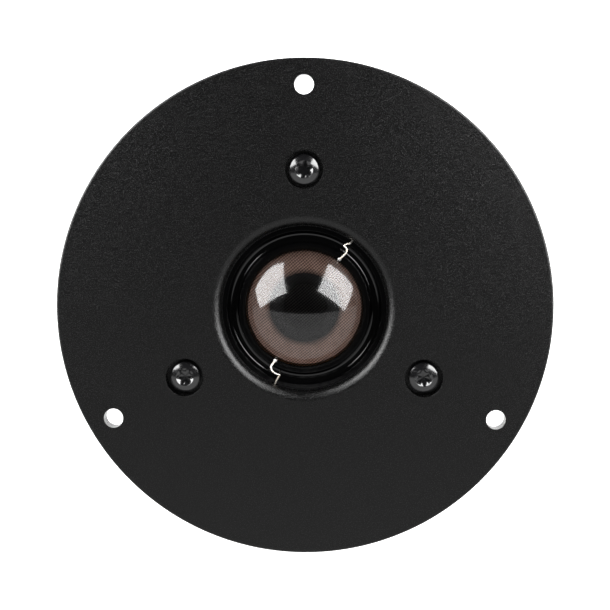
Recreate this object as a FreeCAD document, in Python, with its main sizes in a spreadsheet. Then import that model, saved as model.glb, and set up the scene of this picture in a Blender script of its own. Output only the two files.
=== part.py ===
import FreeCAD, Part
import math
import os

import Sketcher
from FreeCAD import Rotation, Vector

# A flush-mount soft-dome tweeter, in millimetres. +Z points out of the front along the axis of the
# dome. The origin is the centre of the flange's rear face, the plane that meets a baffle.
#
# From front to back: faceplate with its assembly screws, the dome with its inverted roll and voice
# coil, the moulded coil carrier with the terminals, the top plate, the ferrite ring magnet, the back
# plate with its vented pole piece and copper cap, and the rear chamber.

SIZES = {
    # Faceplate: a flat disc with a rounded opening in front of the dome.
    "plate_radius": 55.0,
    "plate_thick": 4.0,
    "plate_edge": 0.5,
    "throat_radius": 18.3,
    "lip_radius": 2.35,
    "mount_circle": 49.15,
    "mount_hole_radius": 2.15,
    "screw_circle": 30.7,
    "bore_radius": 4.2,
    "bore_depth": 2.7,
    "edge_break": 0.15,
    "shank_hole_radius": 1.95,
    "tongue_slot_play": 0.2,
    "rivet_room": 2.4,
    # Foam gasket on the rear face of the flange.
    "seal_inner": 43.0,
    "seal_outer": 53.6,
    "seal_thick": 1.0,
    "seal_hole_radius": 2.6,
    # Moulded coil carrier: a ring that is clamped behind the faceplate, with a tongue for terminals.
    "carrier_inner": 17.55,
    "carrier_outer": 26.0,
    "carrier_thick": 1.6,
    "carrier_play": 0.1,
    "ledge_height": 1.0,
    "channel_floor": 0.7,
    "channel_radius": 22.2,
    "channel_width": 1.2,
    "notch_width": 1.4,
    "positive_angle": 54.4,
    "negative_angle": 248.8,
    "tongue_reach": 43.0,
    "tongue_half": 10.5,
    "peg_circle": 23.9,
    "peg_radius": 1.2,
    "peg_length": 1.6,
    "peg_play": 0.05,
    # Dome, surround and voice coil.
    "dome_sphere": 17.5,
    "dome_radius": 13.3,
    "dome_wall": 0.2,
    "dome_rim": 13.8,
    "roll_middle": 15.87,
    "roll_flat": 0.25,
    "roll_radius": 1.1,
    "roll_drop": 1.05,
    "roll_wall": 0.2,
    "surround_inner": 12.95,
    "surround_outer": 18.0,
    "former_inner": 12.95,
    "former_wall": 0.1,
    "former_bottom": -3.9,
    "wire_build": 0.4,
    "coil_top": -1.3,
    "coil_bottom": -3.5,
    # Motor.
    "motor_radius": 36.0,
    "top_plate_thick": 4.0,
    "recess_radius": 17.55,
    "recess_depth": 0.8,
    "groove_inner": 14.1,
    "groove_depth": 1.8,
    "gap_radius": 13.8,
    "magnet_inner": 16.0,
    "magnet_thick": 15.0,
    "magnet_chamfer": 0.8,
    "back_plate_thick": 5.0,
    "steel_chamfer": 0.6,
    "pole_radius": 12.4,
    "spigot_radius": 9.0,
    "vent_radius": 5.0,
    "vent_mouth": 7.75,
    "cap_wall": 0.3,
    "cap_skirt": 5.0,
    "plug_top": -14.0,
    "plug_length": 8.0,
    # Rear chamber.
    "chamber_seal": 0.8,
    "chamber_seal_inner": 28.0,
    "chamber_outer": 29.0,
    "chamber_wall": 2.0,
    "chamber_bottom": -44.0,
    "chamber_flange_radius": 35.4,
    "chamber_flange_thick": 2.5,
    "chamber_screw_circle": 32.3,
    "chamber_round": 2.5,
    "foot_recess": 0.6,
    "foot_inner": 21.0,
    "wadding_gap": 0.5,
    "wadding_height": 13.0,
    # Terminals and link wires.
    "terminal_thick": 0.8,
    "terminal_x": 5.5,
    "foot_start": 36.8,
    "blade_outer": 41.6,
    "blade_length": 9.5,
    "wide_blade_half": 2.4,
    "narrow_blade_half": 1.4,
    "rivet_y": 38.5,
    "rivet_radius": 1.0,
    "rivet_head_radius": 1.7,
    "rivet_head": 0.5,
    "washer_thick": 0.4,
    "washer_radius": 2.3,
    "link_radius": 0.35,
    "link_height": 1.15,
    "link_bend": 0.6,
    "lead_radius": 0.18,
    "joint_circle": 13.42,
    "joint_radius": 0.42,
    "joint_height": 1.7,
}

# Screws: head radius, height of the head, rise of its crown, shank radius, shank length, core
# radius of the six-lobe socket, radius of a lobe, how far out a lobe stands, depth of the socket.
FACE_SCREW = ("face_screw", 3.45, 2.3, 0.75, 1.75, 5.1, 1.24, 0.33, 1.345, 1.5)
CHAMBER_SCREW = ("chamber_screw", 2.65, 1.8, 0.6, 1.45, 6.0, 0.95, 0.26, 1.03, 1.1)
SCREW_WORDS = ("head_radius", "head_height", "crown", "shank_radius", "shank_length",
               "socket_core", "lobe_radius", "lobe_circle", "socket_depth")

# The two flexible leads that bridge the surround, from the rim of the dome to the coil carrier.
POSITIVE_LEAD = (
    (8.14, 11.26, 2.00), (8.50, 11.56, 2.24), (9.28, 12.35, 2.50), (9.38, 13.25, 2.48),
    (8.86, 13.92, 2.30), (9.42, 14.32, 1.96), (10.22, 14.46, 1.66), (10.89, 15.21, 1.15),
)
NEGATIVE_LEAD = (
    (-6.74, -12.12, 2.00), (-7.00, -12.40, 2.16), (-7.42, -13.10, 2.46), (-7.16, -13.95, 2.58),
    (-6.42, -14.55, 2.56), (-5.60, -14.92, 2.42), (-5.92, -15.66, 2.10), (-6.30, -16.40, 1.68),
    (-6.76, -17.43, 1.15),
)

LINK_GAP = 0.1  # between the end of a lead and the end of its link wire

SCREW_COUNT = 3
FIRST_SCREW_ANGLE = 90.0

doc = FreeCAD.newDocument("Tweeter")
sheet = doc.addObject("Spreadsheet::Sheet", "dim")
parts = []


def fill_sheet():
    """Writes the driving dimensions into the sheet, one row each, with an alias."""
    rows = dict(SIZES)
    for screw in (FACE_SCREW, CHAMBER_SCREW):
        rows.update({f"{screw[0]}_{word}": value for word, value in zip(SCREW_WORDS, screw[1:])})
    for row, (alias, value) in enumerate(rows.items(), 1):
        sheet.set(f"A{row}", alias)
        sheet.set(f"B{row}", str(value))
        sheet.setAlias(f"B{row}", alias)
    doc.recompute()


def size(expression):
    """The number that an expression on the sheet's aliases comes to."""
    return float(sheet.evalExpression(expression))


# ---------------------------------------------------------------- sketches and features


def new_body(name):
    """A PartDesign body that is written as a node of its own."""
    body = doc.addObject("PartDesign::Body", name)
    body.Label = name
    parts.append(body)
    return body


def add_group(label, members):
    """A node made of several alike solids."""
    group = doc.addObject("Part::Compound", label)
    group.Label = label
    group.Links = members
    parts.append(group)


def new_sketch(body, name, role="XY_Plane", height=None):
    """A sketch on one of the body's origin planes, raised along its normal where height is given."""
    sketch = body.newObject("Sketcher::SketchObject", f"{body.Name}_{name}_sketch")
    plane = next(f for f in body.Origin.OriginFeatures if f.Role == role)
    sketch.AttachmentSupport = [(plane, "")]
    sketch.MapMode = "FlatFace"
    if height is not None:
        sketch.setExpression("AttachmentOffset.Base.z", height)
    return sketch


def fix(sketch, kind, geometry, point, value):
    """Holds one coordinate of a point at an expression's value."""
    number = sketch.addConstraint(
        Sketcher.Constraint(kind, -1, 1, geometry, point, float(sketch.evalExpression(value))))
    sketch.setExpression(f"Constraints[{number}]", value)


def draw_outline(sketch, corners):
    """Draws a closed outline. A corner is (x, y), or (x, y, centre x, centre y) where an arc under
    half a turn leads from it to the next corner."""
    places = [[float(sketch.evalExpression(c)) for c in corner] for corner in corners]
    ends = []
    for here, there in zip(places, places[1:] + places[:1]):
        a, b = Vector(here[0], here[1], 0), Vector(there[0], there[1], 0)
        if len(here) == 2:
            number = sketch.addGeometry(Part.LineSegment(a, b), False)
            ends.append((number, 1, 2))
            continue
        centre = Vector(here[2], here[3], 0)
        first, last = (math.atan2(p.y - centre.y, p.x - centre.x) for p in (a, b))
        anticlockwise = (last - first) % (2 * math.pi) < math.pi
        if not anticlockwise:
            first, last = last, first
        circle = Part.Circle(centre, Vector(0, 0, 1), (a - centre).Length)
        number = sketch.addGeometry(Part.ArcOfCircle(circle, first, last), False)
        ends.append((number, 1, 2) if anticlockwise else (number, 2, 1))
    for here, there in zip(ends, ends[1:] + ends[:1]):
        sketch.addConstraint(Sketcher.Constraint("Coincident", here[0], here[2], there[0], there[1]))
    for corner, place, after, end in zip(corners, places, places[1:] + places[:1], ends):
        fix(sketch, "DistanceX", end[0], end[1], corner[0])
        fix(sketch, "DistanceY", end[0], end[1], corner[1])
        if len(corner) == 4:
            upright = abs(after[1] - place[1]) > abs(after[0] - place[0])
            kind, value = ("DistanceX", corner[2]) if upright else ("DistanceY", corner[3])
            fix(sketch, kind, end[0], 3, value)


def draw_circle(sketch, x, y, radius):
    """Draws a circle whose centre and radius are expressions."""
    centre = Vector(*(float(sketch.evalExpression(c)) for c in (x, y)), 0)
    circle = Part.Circle(centre, Vector(0, 0, 1), float(sketch.evalExpression(radius)))
    number = sketch.addGeometry(circle, False)
    fix(sketch, "DistanceX", number, 3, x)
    fix(sketch, "DistanceY", number, 3, y)
    held = sketch.addConstraint(Sketcher.Constraint("Radius", number, circle.Radius))
    sketch.setExpression(f"Constraints[{held}]", radius)


def revolve(body, name, corners, kind="Revolution"):
    """Turns an outline of (radius, height) corners about the Z axis. kind is Revolution or Groove."""
    sketch = new_sketch(body, name, "XZ_Plane")
    draw_outline(sketch, corners)
    feature = body.newObject(f"PartDesign::{kind}", f"{body.Name}_{name}")
    feature.Profile = sketch
    feature.ReferenceAxis = (sketch, ["V_Axis"])
    feature.Angle = 360.0
    doc.recompute()
    return feature


def volume(body):
    """The volume of a body, which is nothing before its first feature."""
    return 0.0 if body.Shape.isNull() else body.Shape.Volume


def extrude(body, name, shapes, height, length, kind="Pad", upward=True):
    """Pads or pockets shapes drawn at a height. A shape is a corner list or (x, y, radius)."""
    sketch = new_sketch(body, name, "XY_Plane", height)
    for shape in shapes:
        if isinstance(shape[0], str):
            draw_circle(sketch, *shape)
        else:
            draw_outline(sketch, shape)
    before = volume(body)
    feature = body.newObject(f"PartDesign::{kind}", f"{body.Name}_{name}")
    feature.Profile = sketch
    feature.setExpression("Length", length)
    feature.Reversed = upward if kind == "Pocket" else not upward
    doc.recompute()
    if abs(volume(body) - before) < 1e-6:
        raise RuntimeError(f"{body.Name}: {name} changed nothing")
    return feature


def repeat_round(body, feature, count):
    """Repeats a feature evenly round the body's Z axis."""
    before = volume(body)
    pattern = body.newObject("PartDesign::PolarPattern", f"{feature.Name}_pattern")
    pattern.Originals = [feature]
    axis = next(f for f in body.Origin.OriginFeatures if f.Role == "Z_Axis")
    pattern.Axis = (axis, [""])
    pattern.Angle = 360.0
    pattern.Occurrences = count
    body.Tip = pattern
    doc.recompute()
    if abs(volume(body) - before) < 1e-6:
        raise RuntimeError(f"{body.Name}: the pattern of {feature.Name} changed nothing")


def rings(shape, radius, height, tolerance=1e-3):
    """The names of a shape's circular edges with that radius whose centre is at that height."""
    found = []
    for number, edge in enumerate(shape.Edges, 1):
        curve = edge.Curve
        if (isinstance(curve, Part.Circle) and abs(curve.Radius - radius) < tolerance
                and abs(curve.Center.z - height) < tolerance):
            found.append(f"Edge{number}")
    return found


def soften(body, name, kind, amount, *circles):
    """Fillets or chamfers the circular edges given as (radius, height) expressions."""
    base = body.Tip
    edges = [e for radius, height in circles for e in rings(base.Shape, size(radius), size(height))]
    if not edges:
        raise RuntimeError(f"{body.Name}: {name} found no edges")
    feature = body.newObject(f"PartDesign::{kind}", f"{body.Name}_{name}")
    feature.Base = (base, edges)
    feature.setExpression("Radius" if kind == "Fillet" else "Size", amount)
    doc.recompute()
    return feature


def rectangle(left, front, right, back):
    """The corners of a rectangle, as expressions."""
    return ((left, front), (right, front), (right, back), (left, back))


def on_circle(radius, angle):
    """A point on a circle about the Z axis, as expressions."""
    return f"{radius} * cos({angle})", f"{radius} * sin({angle})"


# ---------------------------------------------------------------- front


def make_faceplate():
    body = new_body("faceplate")
    revolve(body, "disc", (
        ("dim.throat_radius", "dim.carrier_thick"),
        ("dim.carrier_outer + dim.carrier_play", "dim.carrier_thick"),
        ("dim.carrier_outer + dim.carrier_play", "0"),
        ("dim.plate_radius", "0"),
        ("dim.plate_radius", "dim.plate_thick"),
        ("dim.throat_radius", "dim.plate_thick"),
    ))
    soften(body, "lip", "Fillet", "dim.lip_radius", ("throat_radius", "plate_thick"))
    soften(body, "edge", "Fillet", "dim.plate_edge", ("plate_radius", "plate_thick"))

    hole = extrude(body, "mounting_hole", [(*on_circle("dim.mount_circle", 90), "dim.mount_hole_radius")],
                   "0", "dim.plate_thick", "Pocket")
    repeat_round(body, hole, SCREW_COUNT)
    bore = extrude(body, "counterbore", [(*on_circle("dim.screw_circle", 90), "dim.bore_radius")],
                   "dim.plate_thick - dim.bore_depth", "dim.bore_depth", "Pocket")
    repeat_round(body, bore, SCREW_COUNT)
    shank = extrude(body, "shank_hole", [(*on_circle("dim.screw_circle", 90), "dim.shank_hole_radius")],
                    "0", "dim.plate_thick", "Pocket")
    repeat_round(body, shank, SCREW_COUNT)
    soften(body, "break", "Chamfer", "dim.edge_break",
           ("bore_radius", "plate_thick"), ("mount_hole_radius", "plate_thick"))

    side = "dim.tongue_half + dim.tongue_slot_play"
    extrude(body, "tongue_slot", [rectangle(
        f"-({side})", "-(dim.tongue_reach + dim.tongue_slot_play)", side, "-dim.carrier_inner - 3")],
        "0", "dim.carrier_thick", "Pocket")
    extrude(body, "rivet_room", [rectangle(
        "-(dim.terminal_x + 3)", "-(dim.rivet_y + 2.5)", "dim.terminal_x + 3", "-(dim.rivet_y - 2.5)")],
        "0", "dim.rivet_room", "Pocket")


def make_faceplate_gasket():
    body = new_body("faceplate_gasket")
    revolve(body, "ring", (
        ("dim.seal_inner", "-dim.seal_thick"), ("dim.seal_outer", "-dim.seal_thick"),
        ("dim.seal_outer", "0"), ("dim.seal_inner", "0"),
    ))
    hole = extrude(body, "hole", [(*on_circle("dim.mount_circle", 90), "dim.seal_hole_radius")],
                   "-dim.seal_thick", "dim.seal_thick", "Pocket")
    repeat_round(body, hole, SCREW_COUNT)


def make_screws(label, kind, circle, seat, upward):
    """Identical screws on a circle, as one compound. seat is the height that the heads bear on."""
    screws = []
    for index in range(SCREW_COUNT):
        body = doc.addObject("PartDesign::Body", f"{label}_{index + 1}")
        d = f"dim.{kind}_"
        rise = f"{d}head_height - {d}crown"
        crown_sphere = f"(({d}head_radius - 0.15) ^ 2 + {d}crown ^ 2) / (2 * {d}crown)"
        revolve(body, "turned", (
            ("0", f"-{d}shank_length"),
            (f"{d}shank_radius - 0.4", f"-{d}shank_length"),
            (f"{d}shank_radius", f"-{d}shank_length + 0.4"),
            (f"{d}shank_radius", "0"),
            (f"{d}head_radius", "0"),
            (f"{d}head_radius", f"{rise} - 0.15"),
            (f"{d}head_radius - 0.15", f"{rise}", "0", f"{d}head_height - {crown_sphere}"),
            ("0", f"{d}head_height"),
        ))
        depth = f"{d}head_height - {d}socket_depth"
        extrude(body, "socket", [("0", "0", f"{d}socket_core")], depth, f"{d}socket_depth + 1", "Pocket")
        lobe = extrude(body, "lobe", [(f"{d}lobe_circle", "0", f"{d}lobe_radius")],
                       depth, f"{d}socket_depth + 1", "Pocket")
        repeat_round(body, lobe, 6)
        angle = math.radians(FIRST_SCREW_ANGLE + 360 * index / SCREW_COUNT)
        radius = size(circle)
        turn = Rotation() if upward else Rotation(Vector(1, 0, 0), 180)
        place = Vector(radius * math.cos(angle), radius * math.sin(angle), size(seat))
        body.Placement = FreeCAD.Placement(place, turn)
        screws.append(body)
    add_group(label, screws)


# ---------------------------------------------------------------- diaphragm


def make_dome():
    """A spherical cap with a flat rim that is bonded to the surround and the former."""
    body = new_body("dome")
    rim_bottom = "(dim.ledge_height + dim.roll_wall)"
    rim_top = f"({rim_bottom} + dim.dome_wall)"
    centre = f"({rim_top} - sqrt(dim.dome_sphere ^ 2 - dim.dome_radius ^ 2))"
    inner = "(dim.dome_sphere - dim.dome_wall)"
    skirt = f"sqrt({inner} ^ 2 - ({rim_bottom} - {centre}) ^ 2)"
    revolve(body, "cap", (
        (skirt, rim_bottom),
        ("dim.dome_rim", rim_bottom),
        ("dim.dome_rim", rim_top),
        ("dim.dome_radius", rim_top, "0", centre),
        ("0", f"{centre} + dim.dome_sphere"),
        ("0", f"{centre} + {inner}", "0", centre),
    ))
    return body


def make_surround():
    """An inverted roll: a deep trough with a rounded floor, hung between two flat flanges."""
    body = new_body("surround")
    low, high = "dim.ledge_height", "(dim.ledge_height + dim.roll_wall)"
    left, right = "(dim.roll_middle - dim.roll_flat)", "(dim.roll_middle + dim.roll_flat)"
    turn, outer = f"({high} - dim.roll_drop)", "(dim.roll_radius + dim.roll_wall)"
    revolve(body, "roll", (
        ("dim.surround_inner", low),
        (f"{left} - {outer}", low),
        (f"{left} - {outer}", turn, left, turn),
        (left, f"{turn} - {outer}"),
        (right, f"{turn} - {outer}", right, turn),
        (f"{right} + {outer}", turn),
        (f"{right} + {outer}", low),
        ("dim.surround_outer", low),
        ("dim.surround_outer", high),
        (f"{right} + dim.roll_radius", high),
        (f"{right} + dim.roll_radius", turn, right, turn),
        (right, f"{turn} - dim.roll_radius"),
        (left, f"{turn} - dim.roll_radius", left, turn),
        (f"{left} - dim.roll_radius", turn),
        (f"{left} - dim.roll_radius", high),
        ("dim.surround_inner", high),
    ))


def make_solder_joints(dome):
    """Two beads of solder on the rim of the dome, where the leads meet the ends of the coil."""
    beads = []
    for index, lead in enumerate((POSITIVE_LEAD, NEGATIVE_LEAD)):
        angle = math.atan2(lead[0][1], lead[0][0])
        reach = size("joint_circle")
        ball = doc.addObject("Part::Sphere", f"solder_ball_{index + 1}")
        ball.setExpression("Radius", "dim.joint_radius")
        ball.Placement.Base = Vector(reach * math.cos(angle), reach * math.sin(angle),
                                     size("joint_height"))
        bead = doc.addObject("Part::Cut", f"solder_bead_{index + 1}")
        bead.Base = ball
        bead.Tool = dome
        beads.append(bead)
    add_group("solder_joints", beads)


def make_voice_coil():
    former = new_body("voice_coil_former")
    revolve(former, "tube", (
        ("dim.former_inner", "dim.former_bottom"),
        ("dim.former_inner + dim.former_wall", "dim.former_bottom"),
        ("dim.former_inner + dim.former_wall", "dim.ledge_height"),
        ("dim.former_inner", "dim.ledge_height"),
    ))
    winding = new_body("voice_coil_winding")
    inside = "dim.former_inner + dim.former_wall"
    revolve(winding, "turns", (
        (inside, "dim.coil_bottom"), (f"{inside} + dim.wire_build", "dim.coil_bottom"),
        (f"{inside} + dim.wire_build", "dim.coil_top"), (inside, "dim.coil_top"),
    ))


# ---------------------------------------------------------------- coil carrier and wiring


def make_coil_carrier():
    body = new_body("coil_carrier")
    revolve(body, "ring", (
        ("dim.carrier_inner", "0"),
        ("dim.carrier_outer", "0"),
        ("dim.carrier_outer", "dim.carrier_thick"),
        ("dim.throat_radius", "dim.carrier_thick"),
        ("dim.throat_radius", "dim.ledge_height"),
        ("dim.carrier_inner", "dim.ledge_height"),
    ))
    extrude(body, "tongue", [rectangle(
        "-dim.tongue_half", "-dim.tongue_reach", "dim.tongue_half", "-dim.carrier_outer + 4")],
        "0", "dim.carrier_thick")
    half = "dim.channel_width / 2"
    revolve(body, "channel", (
        (f"dim.channel_radius - {half}", "dim.channel_floor"),
        (f"dim.channel_radius + {half}", "dim.channel_floor"),
        (f"dim.channel_radius + {half}", "dim.carrier_thick"),
        (f"dim.channel_radius - {half}", "dim.carrier_thick"),
    ), "Groove")
    for name, angle in (("positive", "dim.positive_angle"), ("negative", "dim.negative_angle")):
        extrude(body, f"{name}_notch", [radial_slot(angle, "17.8", "dim.channel_radius", "dim.notch_width")],
                "dim.channel_floor", "dim.carrier_thick", "Pocket")
    for name, side in (("positive", "dim.terminal_x"), ("negative", "-dim.terminal_x")):
        extrude(body, f"{name}_channel", [rectangle(
            f"{side} - {half}", "-(dim.rivet_y - 1.4)", f"{side} + {half}", "-(dim.channel_radius - 1.2)")],
            "dim.channel_floor", "dim.carrier_thick", "Pocket")
        extrude(body, f"{name}_rivet_hole", [(side, "-dim.rivet_y", "dim.rivet_radius")],
                "0", "dim.carrier_thick", "Pocket")
    for index, angle in enumerate((30, 150)):
        extrude(body, f"peg_{index + 1}", [(*on_circle("dim.peg_circle", angle), "dim.peg_radius")],
                "0", "dim.peg_length", upward=False)


def radial_slot(angle, start, end, width):
    """The corners of a slot that runs outwards at an angle."""
    corners = []
    for reach, side in ((start, -1), (end, -1), (end, 1), (start, 1)):
        across = f"{side} * {width} / 2"
        corners.append((f"{reach} * cos({angle}) - {across} * sin({angle})",
                        f"{reach} * sin({angle}) + {across} * cos({angle})"))
    return corners


def make_terminal(name, side, half):
    """A stamped blade: a foot riveted under the tongue and a blade that points to the rear."""
    body = new_body(name)
    extrude(body, "foot", [rectangle(
        f"{side} - {half}", "-dim.blade_outer", f"{side} + {half}", "-dim.foot_start")],
        "0", "dim.terminal_thick", upward=False)
    tip = "1.0"
    extrude(body, "blade", [rectangle(
        f"{side} - {half}", "-dim.blade_outer", f"{side} + {half}",
        "-dim.blade_outer + dim.terminal_thick")],
        "-dim.terminal_thick", f"dim.blade_length - dim.terminal_thick - {tip}", upward=False)
    extrude(body, "tip", [rectangle(
        f"{side} - {half} + 0.5", "-dim.blade_outer + 0.15", f"{side} + {half} - 0.5",
        "-dim.blade_outer + dim.terminal_thick - 0.15")],
        f"-dim.blade_length + {tip}", tip, upward=False)
    extrude(body, "rivet_hole", [(side, "-dim.rivet_y", "dim.rivet_radius")],
            "-dim.terminal_thick", "dim.terminal_thick", "Pocket")


def make_washer():
    """The red fibre washer that marks the positive terminal, under the head of its rivet."""
    body = new_body("polarity_washer")
    extrude(body, "disc", [("dim.terminal_x", "-dim.rivet_y", "dim.washer_radius"),
                           ("dim.terminal_x", "-dim.rivet_y", "dim.rivet_radius")],
            "-dim.terminal_thick", "dim.washer_thick", upward=False)


def make_terminal_rivets():
    """Two rivets, with a flared end in the room behind the faceplate and a head at the rear."""
    rivets = []
    for index, (side, packing) in enumerate(((1, "washer_thick"), (-1, "washer_thick * 0"))):
        grip = size(f"carrier_thick + terminal_thick + {packing}")
        shank = doc.addObject("Part::Cylinder", f"rivet_shank_{index + 1}")
        shank.setExpression("Radius", "dim.rivet_radius")
        shank.Height = grip
        flare = doc.addObject("Part::Cylinder", f"rivet_flare_{index + 1}")
        head = doc.addObject("Part::Cylinder", f"rivet_head_{index + 1}")
        for end in (flare, head):
            end.setExpression("Radius", "dim.rivet_head_radius")
            end.setExpression("Height", "dim.rivet_head")
        x, y = side * size("terminal_x"), -size("rivet_y")
        top = size("carrier_thick")
        shank.Placement.Base = Vector(x, y, top - grip)
        flare.Placement.Base = Vector(x, y, top)
        head.Placement.Base = Vector(x, y, top - grip - size("rivet_head"))
        rivet = doc.addObject("Part::MultiFuse", f"rivet_{index + 1}")
        rivet.Shapes = [shank, flare, head]
        rivets.append(rivet)
    add_group("terminal_rivets", rivets)


def rounded_path(points, sharp_setback):
    """A wire of straight runs through the points, joined by tangent arcs. An arc starts as far from
    its corner as the runs allow, and no more than sharp_setback away where the corner is sharp."""
    edges, start = [], points[0]
    for before, corner, after in zip(points, points[1:], points[2:]):
        back, on = (before - corner), (after - corner)
        shorter = min(back.Length, on.Length)
        half_turn = (math.pi - back.getAngle(on)) / 2
        setback = 0.45 * shorter
        if half_turn > math.pi / 8:
            setback = min(setback, sharp_setback)
        radius = setback / math.tan(half_turn)
        back.normalize()
        on.normalize()
        first, last = corner + back * setback, corner + on * setback
        towards = (back + on).normalize()
        middle = corner + towards * (math.hypot(radius, setback) - radius)
        edges += [Part.LineSegment(start, first).toShape(), Part.Arc(first, middle, last).toShape()]
        start = last
    edges.append(Part.LineSegment(start, points[-1]).toShape())
    return Part.Wire(edges)


def tube(label, points, radius, sharp_setback=1.0):
    """A round wire along a path, as a Part::Feature, because no feature takes such a path."""
    path = rounded_path(points, sharp_setback)
    direction = points[1] - points[0]
    section = Part.Wire(Part.makeCircle(radius, points[0], direction))
    solid = path.makePipeShell([section], True, False)
    expected = math.pi * radius ** 2 * path.Length
    if abs(solid.Volume / expected - 1) > 0.01:
        raise RuntimeError(f"{label}: volume {solid.Volume:.3f}, and its section says {expected:.3f}")
    feature = doc.addObject("Part::Feature", label)
    feature.Label = label
    feature.Shape = solid
    parts.append(feature)
    print(f"{label}: {path.Length:.1f} mm long")


def make_leads():
    """The bare leads over the surround, and the insulated link wires that lie in the carrier."""
    tube("lead_positive", [Vector(*p) for p in POSITIVE_LEAD], size("lead_radius"))
    tube("lead_negative", [Vector(*p) for p in NEGATIVE_LEAD], size("lead_radius"))
    radius, height, step = size("channel_radius"), size("link_height"), 12
    for label, lead, side, turn in (("link_wire_positive", POSITIVE_LEAD, 1, -1),
                                    ("link_wire_negative", NEGATIVE_LEAD, -1, 1)):
        x, y = lead[-1][:2]
        first = math.degrees(math.atan2(y, x)) % 360
        last = math.degrees(math.atan2(-radius, side * size("terminal_x"))) % 360
        sweep = (turn * (last - first)) % 360
        count = max(2, round(sweep / step))
        angles = [math.radians(first + turn * sweep * i / count) for i in range(count)]
        side_x = side * size("terminal_x")
        points = [Vector(x, y, height) + Vector(x, y, 0).normalize() * LINK_GAP]
        points += [Vector(radius * math.cos(a), radius * math.sin(a), height) for a in angles]
        points.append(Vector(side_x, -math.sqrt(radius ** 2 - side_x ** 2), height))
        points.append(Vector(side_x, -(size("rivet_y") - size("rivet_head_radius") + 0.3), height))
        tube(label, points, size("link_radius"), size("link_bend"))


# ---------------------------------------------------------------- motor


def make_top_plate():
    """The ring round the magnetic gap, with a groove in which the surround has room to move."""
    body = new_body("top_plate")
    revolve(body, "ring", (
        ("dim.gap_radius", "-dim.top_plate_thick"), ("dim.motor_radius", "-dim.top_plate_thick"),
        ("dim.motor_radius", "0"), ("dim.recess_radius", "0"),
        ("dim.recess_radius", "-dim.groove_depth"), ("dim.groove_inner", "-dim.groove_depth"),
        ("dim.groove_inner", "-dim.recess_depth"), ("dim.gap_radius", "-dim.recess_depth"),
    ))
    soften(body, "rim", "Chamfer", "dim.steel_chamfer", ("motor_radius", "0"))
    thread = extrude(body, "thread", [(*on_circle("dim.screw_circle", 90),
                                       "dim.face_screw_shank_radius + 0.02")],
                     "-dim.top_plate_thick", "dim.top_plate_thick", "Pocket")
    repeat_round(body, thread, SCREW_COUNT)
    for index, angle in enumerate((30, 150)):
        extrude(body, f"peg_hole_{index + 1}", [(*on_circle("dim.peg_circle", angle),
                                                 "dim.peg_radius + dim.peg_play")],
                "0", "dim.peg_length + 0.3", "Pocket", upward=False)


def make_magnet():
    body = new_body("magnet")
    top, bottom = "-dim.top_plate_thick", "-(dim.top_plate_thick + dim.magnet_thick)"
    revolve(body, "ring", (
        ("dim.magnet_inner", bottom), ("dim.motor_radius", bottom),
        ("dim.motor_radius", top), ("dim.magnet_inner", top),
    ))
    soften(body, "edges", "Chamfer", "dim.magnet_chamfer",
           ("motor_radius", "-top_plate_thick"),
           ("motor_radius", "-(top_plate_thick + magnet_thick)"))


def make_back_plate():
    body = new_body("back_plate")
    top = "-(dim.top_plate_thick + dim.magnet_thick)"
    bottom = f"({top} - dim.back_plate_thick)"
    revolve(body, "disc", (
        ("dim.spigot_radius", bottom), ("dim.motor_radius", bottom),
        ("dim.motor_radius", top), ("dim.spigot_radius", top),
    ))
    soften(body, "rim", "Chamfer", "dim.steel_chamfer",
           ("motor_radius", "-(top_plate_thick + magnet_thick + back_plate_thick)"))
    thread = extrude(body, "thread", [(*on_circle("dim.chamber_screw_circle", 90),
                                       "dim.chamber_screw_shank_radius + 0.02")],
                     bottom, "dim.back_plate_thick - 0.8", "Pocket")
    repeat_round(body, thread, SCREW_COUNT)


def make_pole_piece():
    """A vented pole with a rounded mouth, pressed into the back plate by its spigot."""
    body = new_body("pole_piece")
    shoulder = "-(dim.top_plate_thick + dim.magnet_thick)"
    bottom = f"({shoulder} - dim.back_plate_thick)"
    round_off = "(dim.vent_mouth - dim.vent_radius)"
    revolve(body, "turned", (
        ("dim.vent_radius", bottom),
        ("dim.spigot_radius", bottom),
        ("dim.spigot_radius", shoulder),
        ("dim.pole_radius", shoulder),
        ("dim.pole_radius", "-dim.cap_wall"),
        ("dim.vent_mouth", "-dim.cap_wall", "dim.vent_mouth", f"-dim.cap_wall - {round_off}"),
        ("dim.vent_radius", f"-dim.cap_wall - {round_off}"),
    ))


def make_copper_cap():
    """A thin spun cap over the top of the pole, which lowers the coil's inductance."""
    body = new_body("copper_cap")
    revolve(body, "cap", (
        ("dim.vent_mouth", "-dim.cap_wall"),
        ("dim.pole_radius", "-dim.cap_wall"),
        ("dim.pole_radius", "-(dim.cap_wall + dim.cap_skirt)"),
        ("dim.pole_radius + dim.cap_wall", "-(dim.cap_wall + dim.cap_skirt)"),
        ("dim.pole_radius + dim.cap_wall", "0"),
        ("dim.vent_mouth", "0"),
    ))


def make_vent_felt():
    """The felt plug that damps the vent."""
    body = new_body("vent_felt")
    extrude(body, "plug", [("0", "0", "dim.vent_radius")], "dim.plug_top", "dim.plug_length", upward=False)


# ---------------------------------------------------------------- rear chamber

MOTOR_BACK = "-(dim.top_plate_thick + dim.magnet_thick + dim.back_plate_thick)"


def make_chamber_gasket():
    body = new_body("chamber_gasket")
    bottom = f"({MOTOR_BACK} - dim.chamber_seal)"
    revolve(body, "ring", (
        ("dim.chamber_seal_inner", bottom), ("dim.chamber_flange_radius", bottom),
        ("dim.chamber_flange_radius", MOTOR_BACK), ("dim.chamber_seal_inner", MOTOR_BACK),
    ))
    hole = extrude(body, "hole", [(*on_circle("dim.chamber_screw_circle", 90),
                                   "dim.chamber_screw_shank_radius + 0.3")],
                   bottom, "dim.chamber_seal", "Pocket")
    repeat_round(body, hole, SCREW_COUNT)


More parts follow.
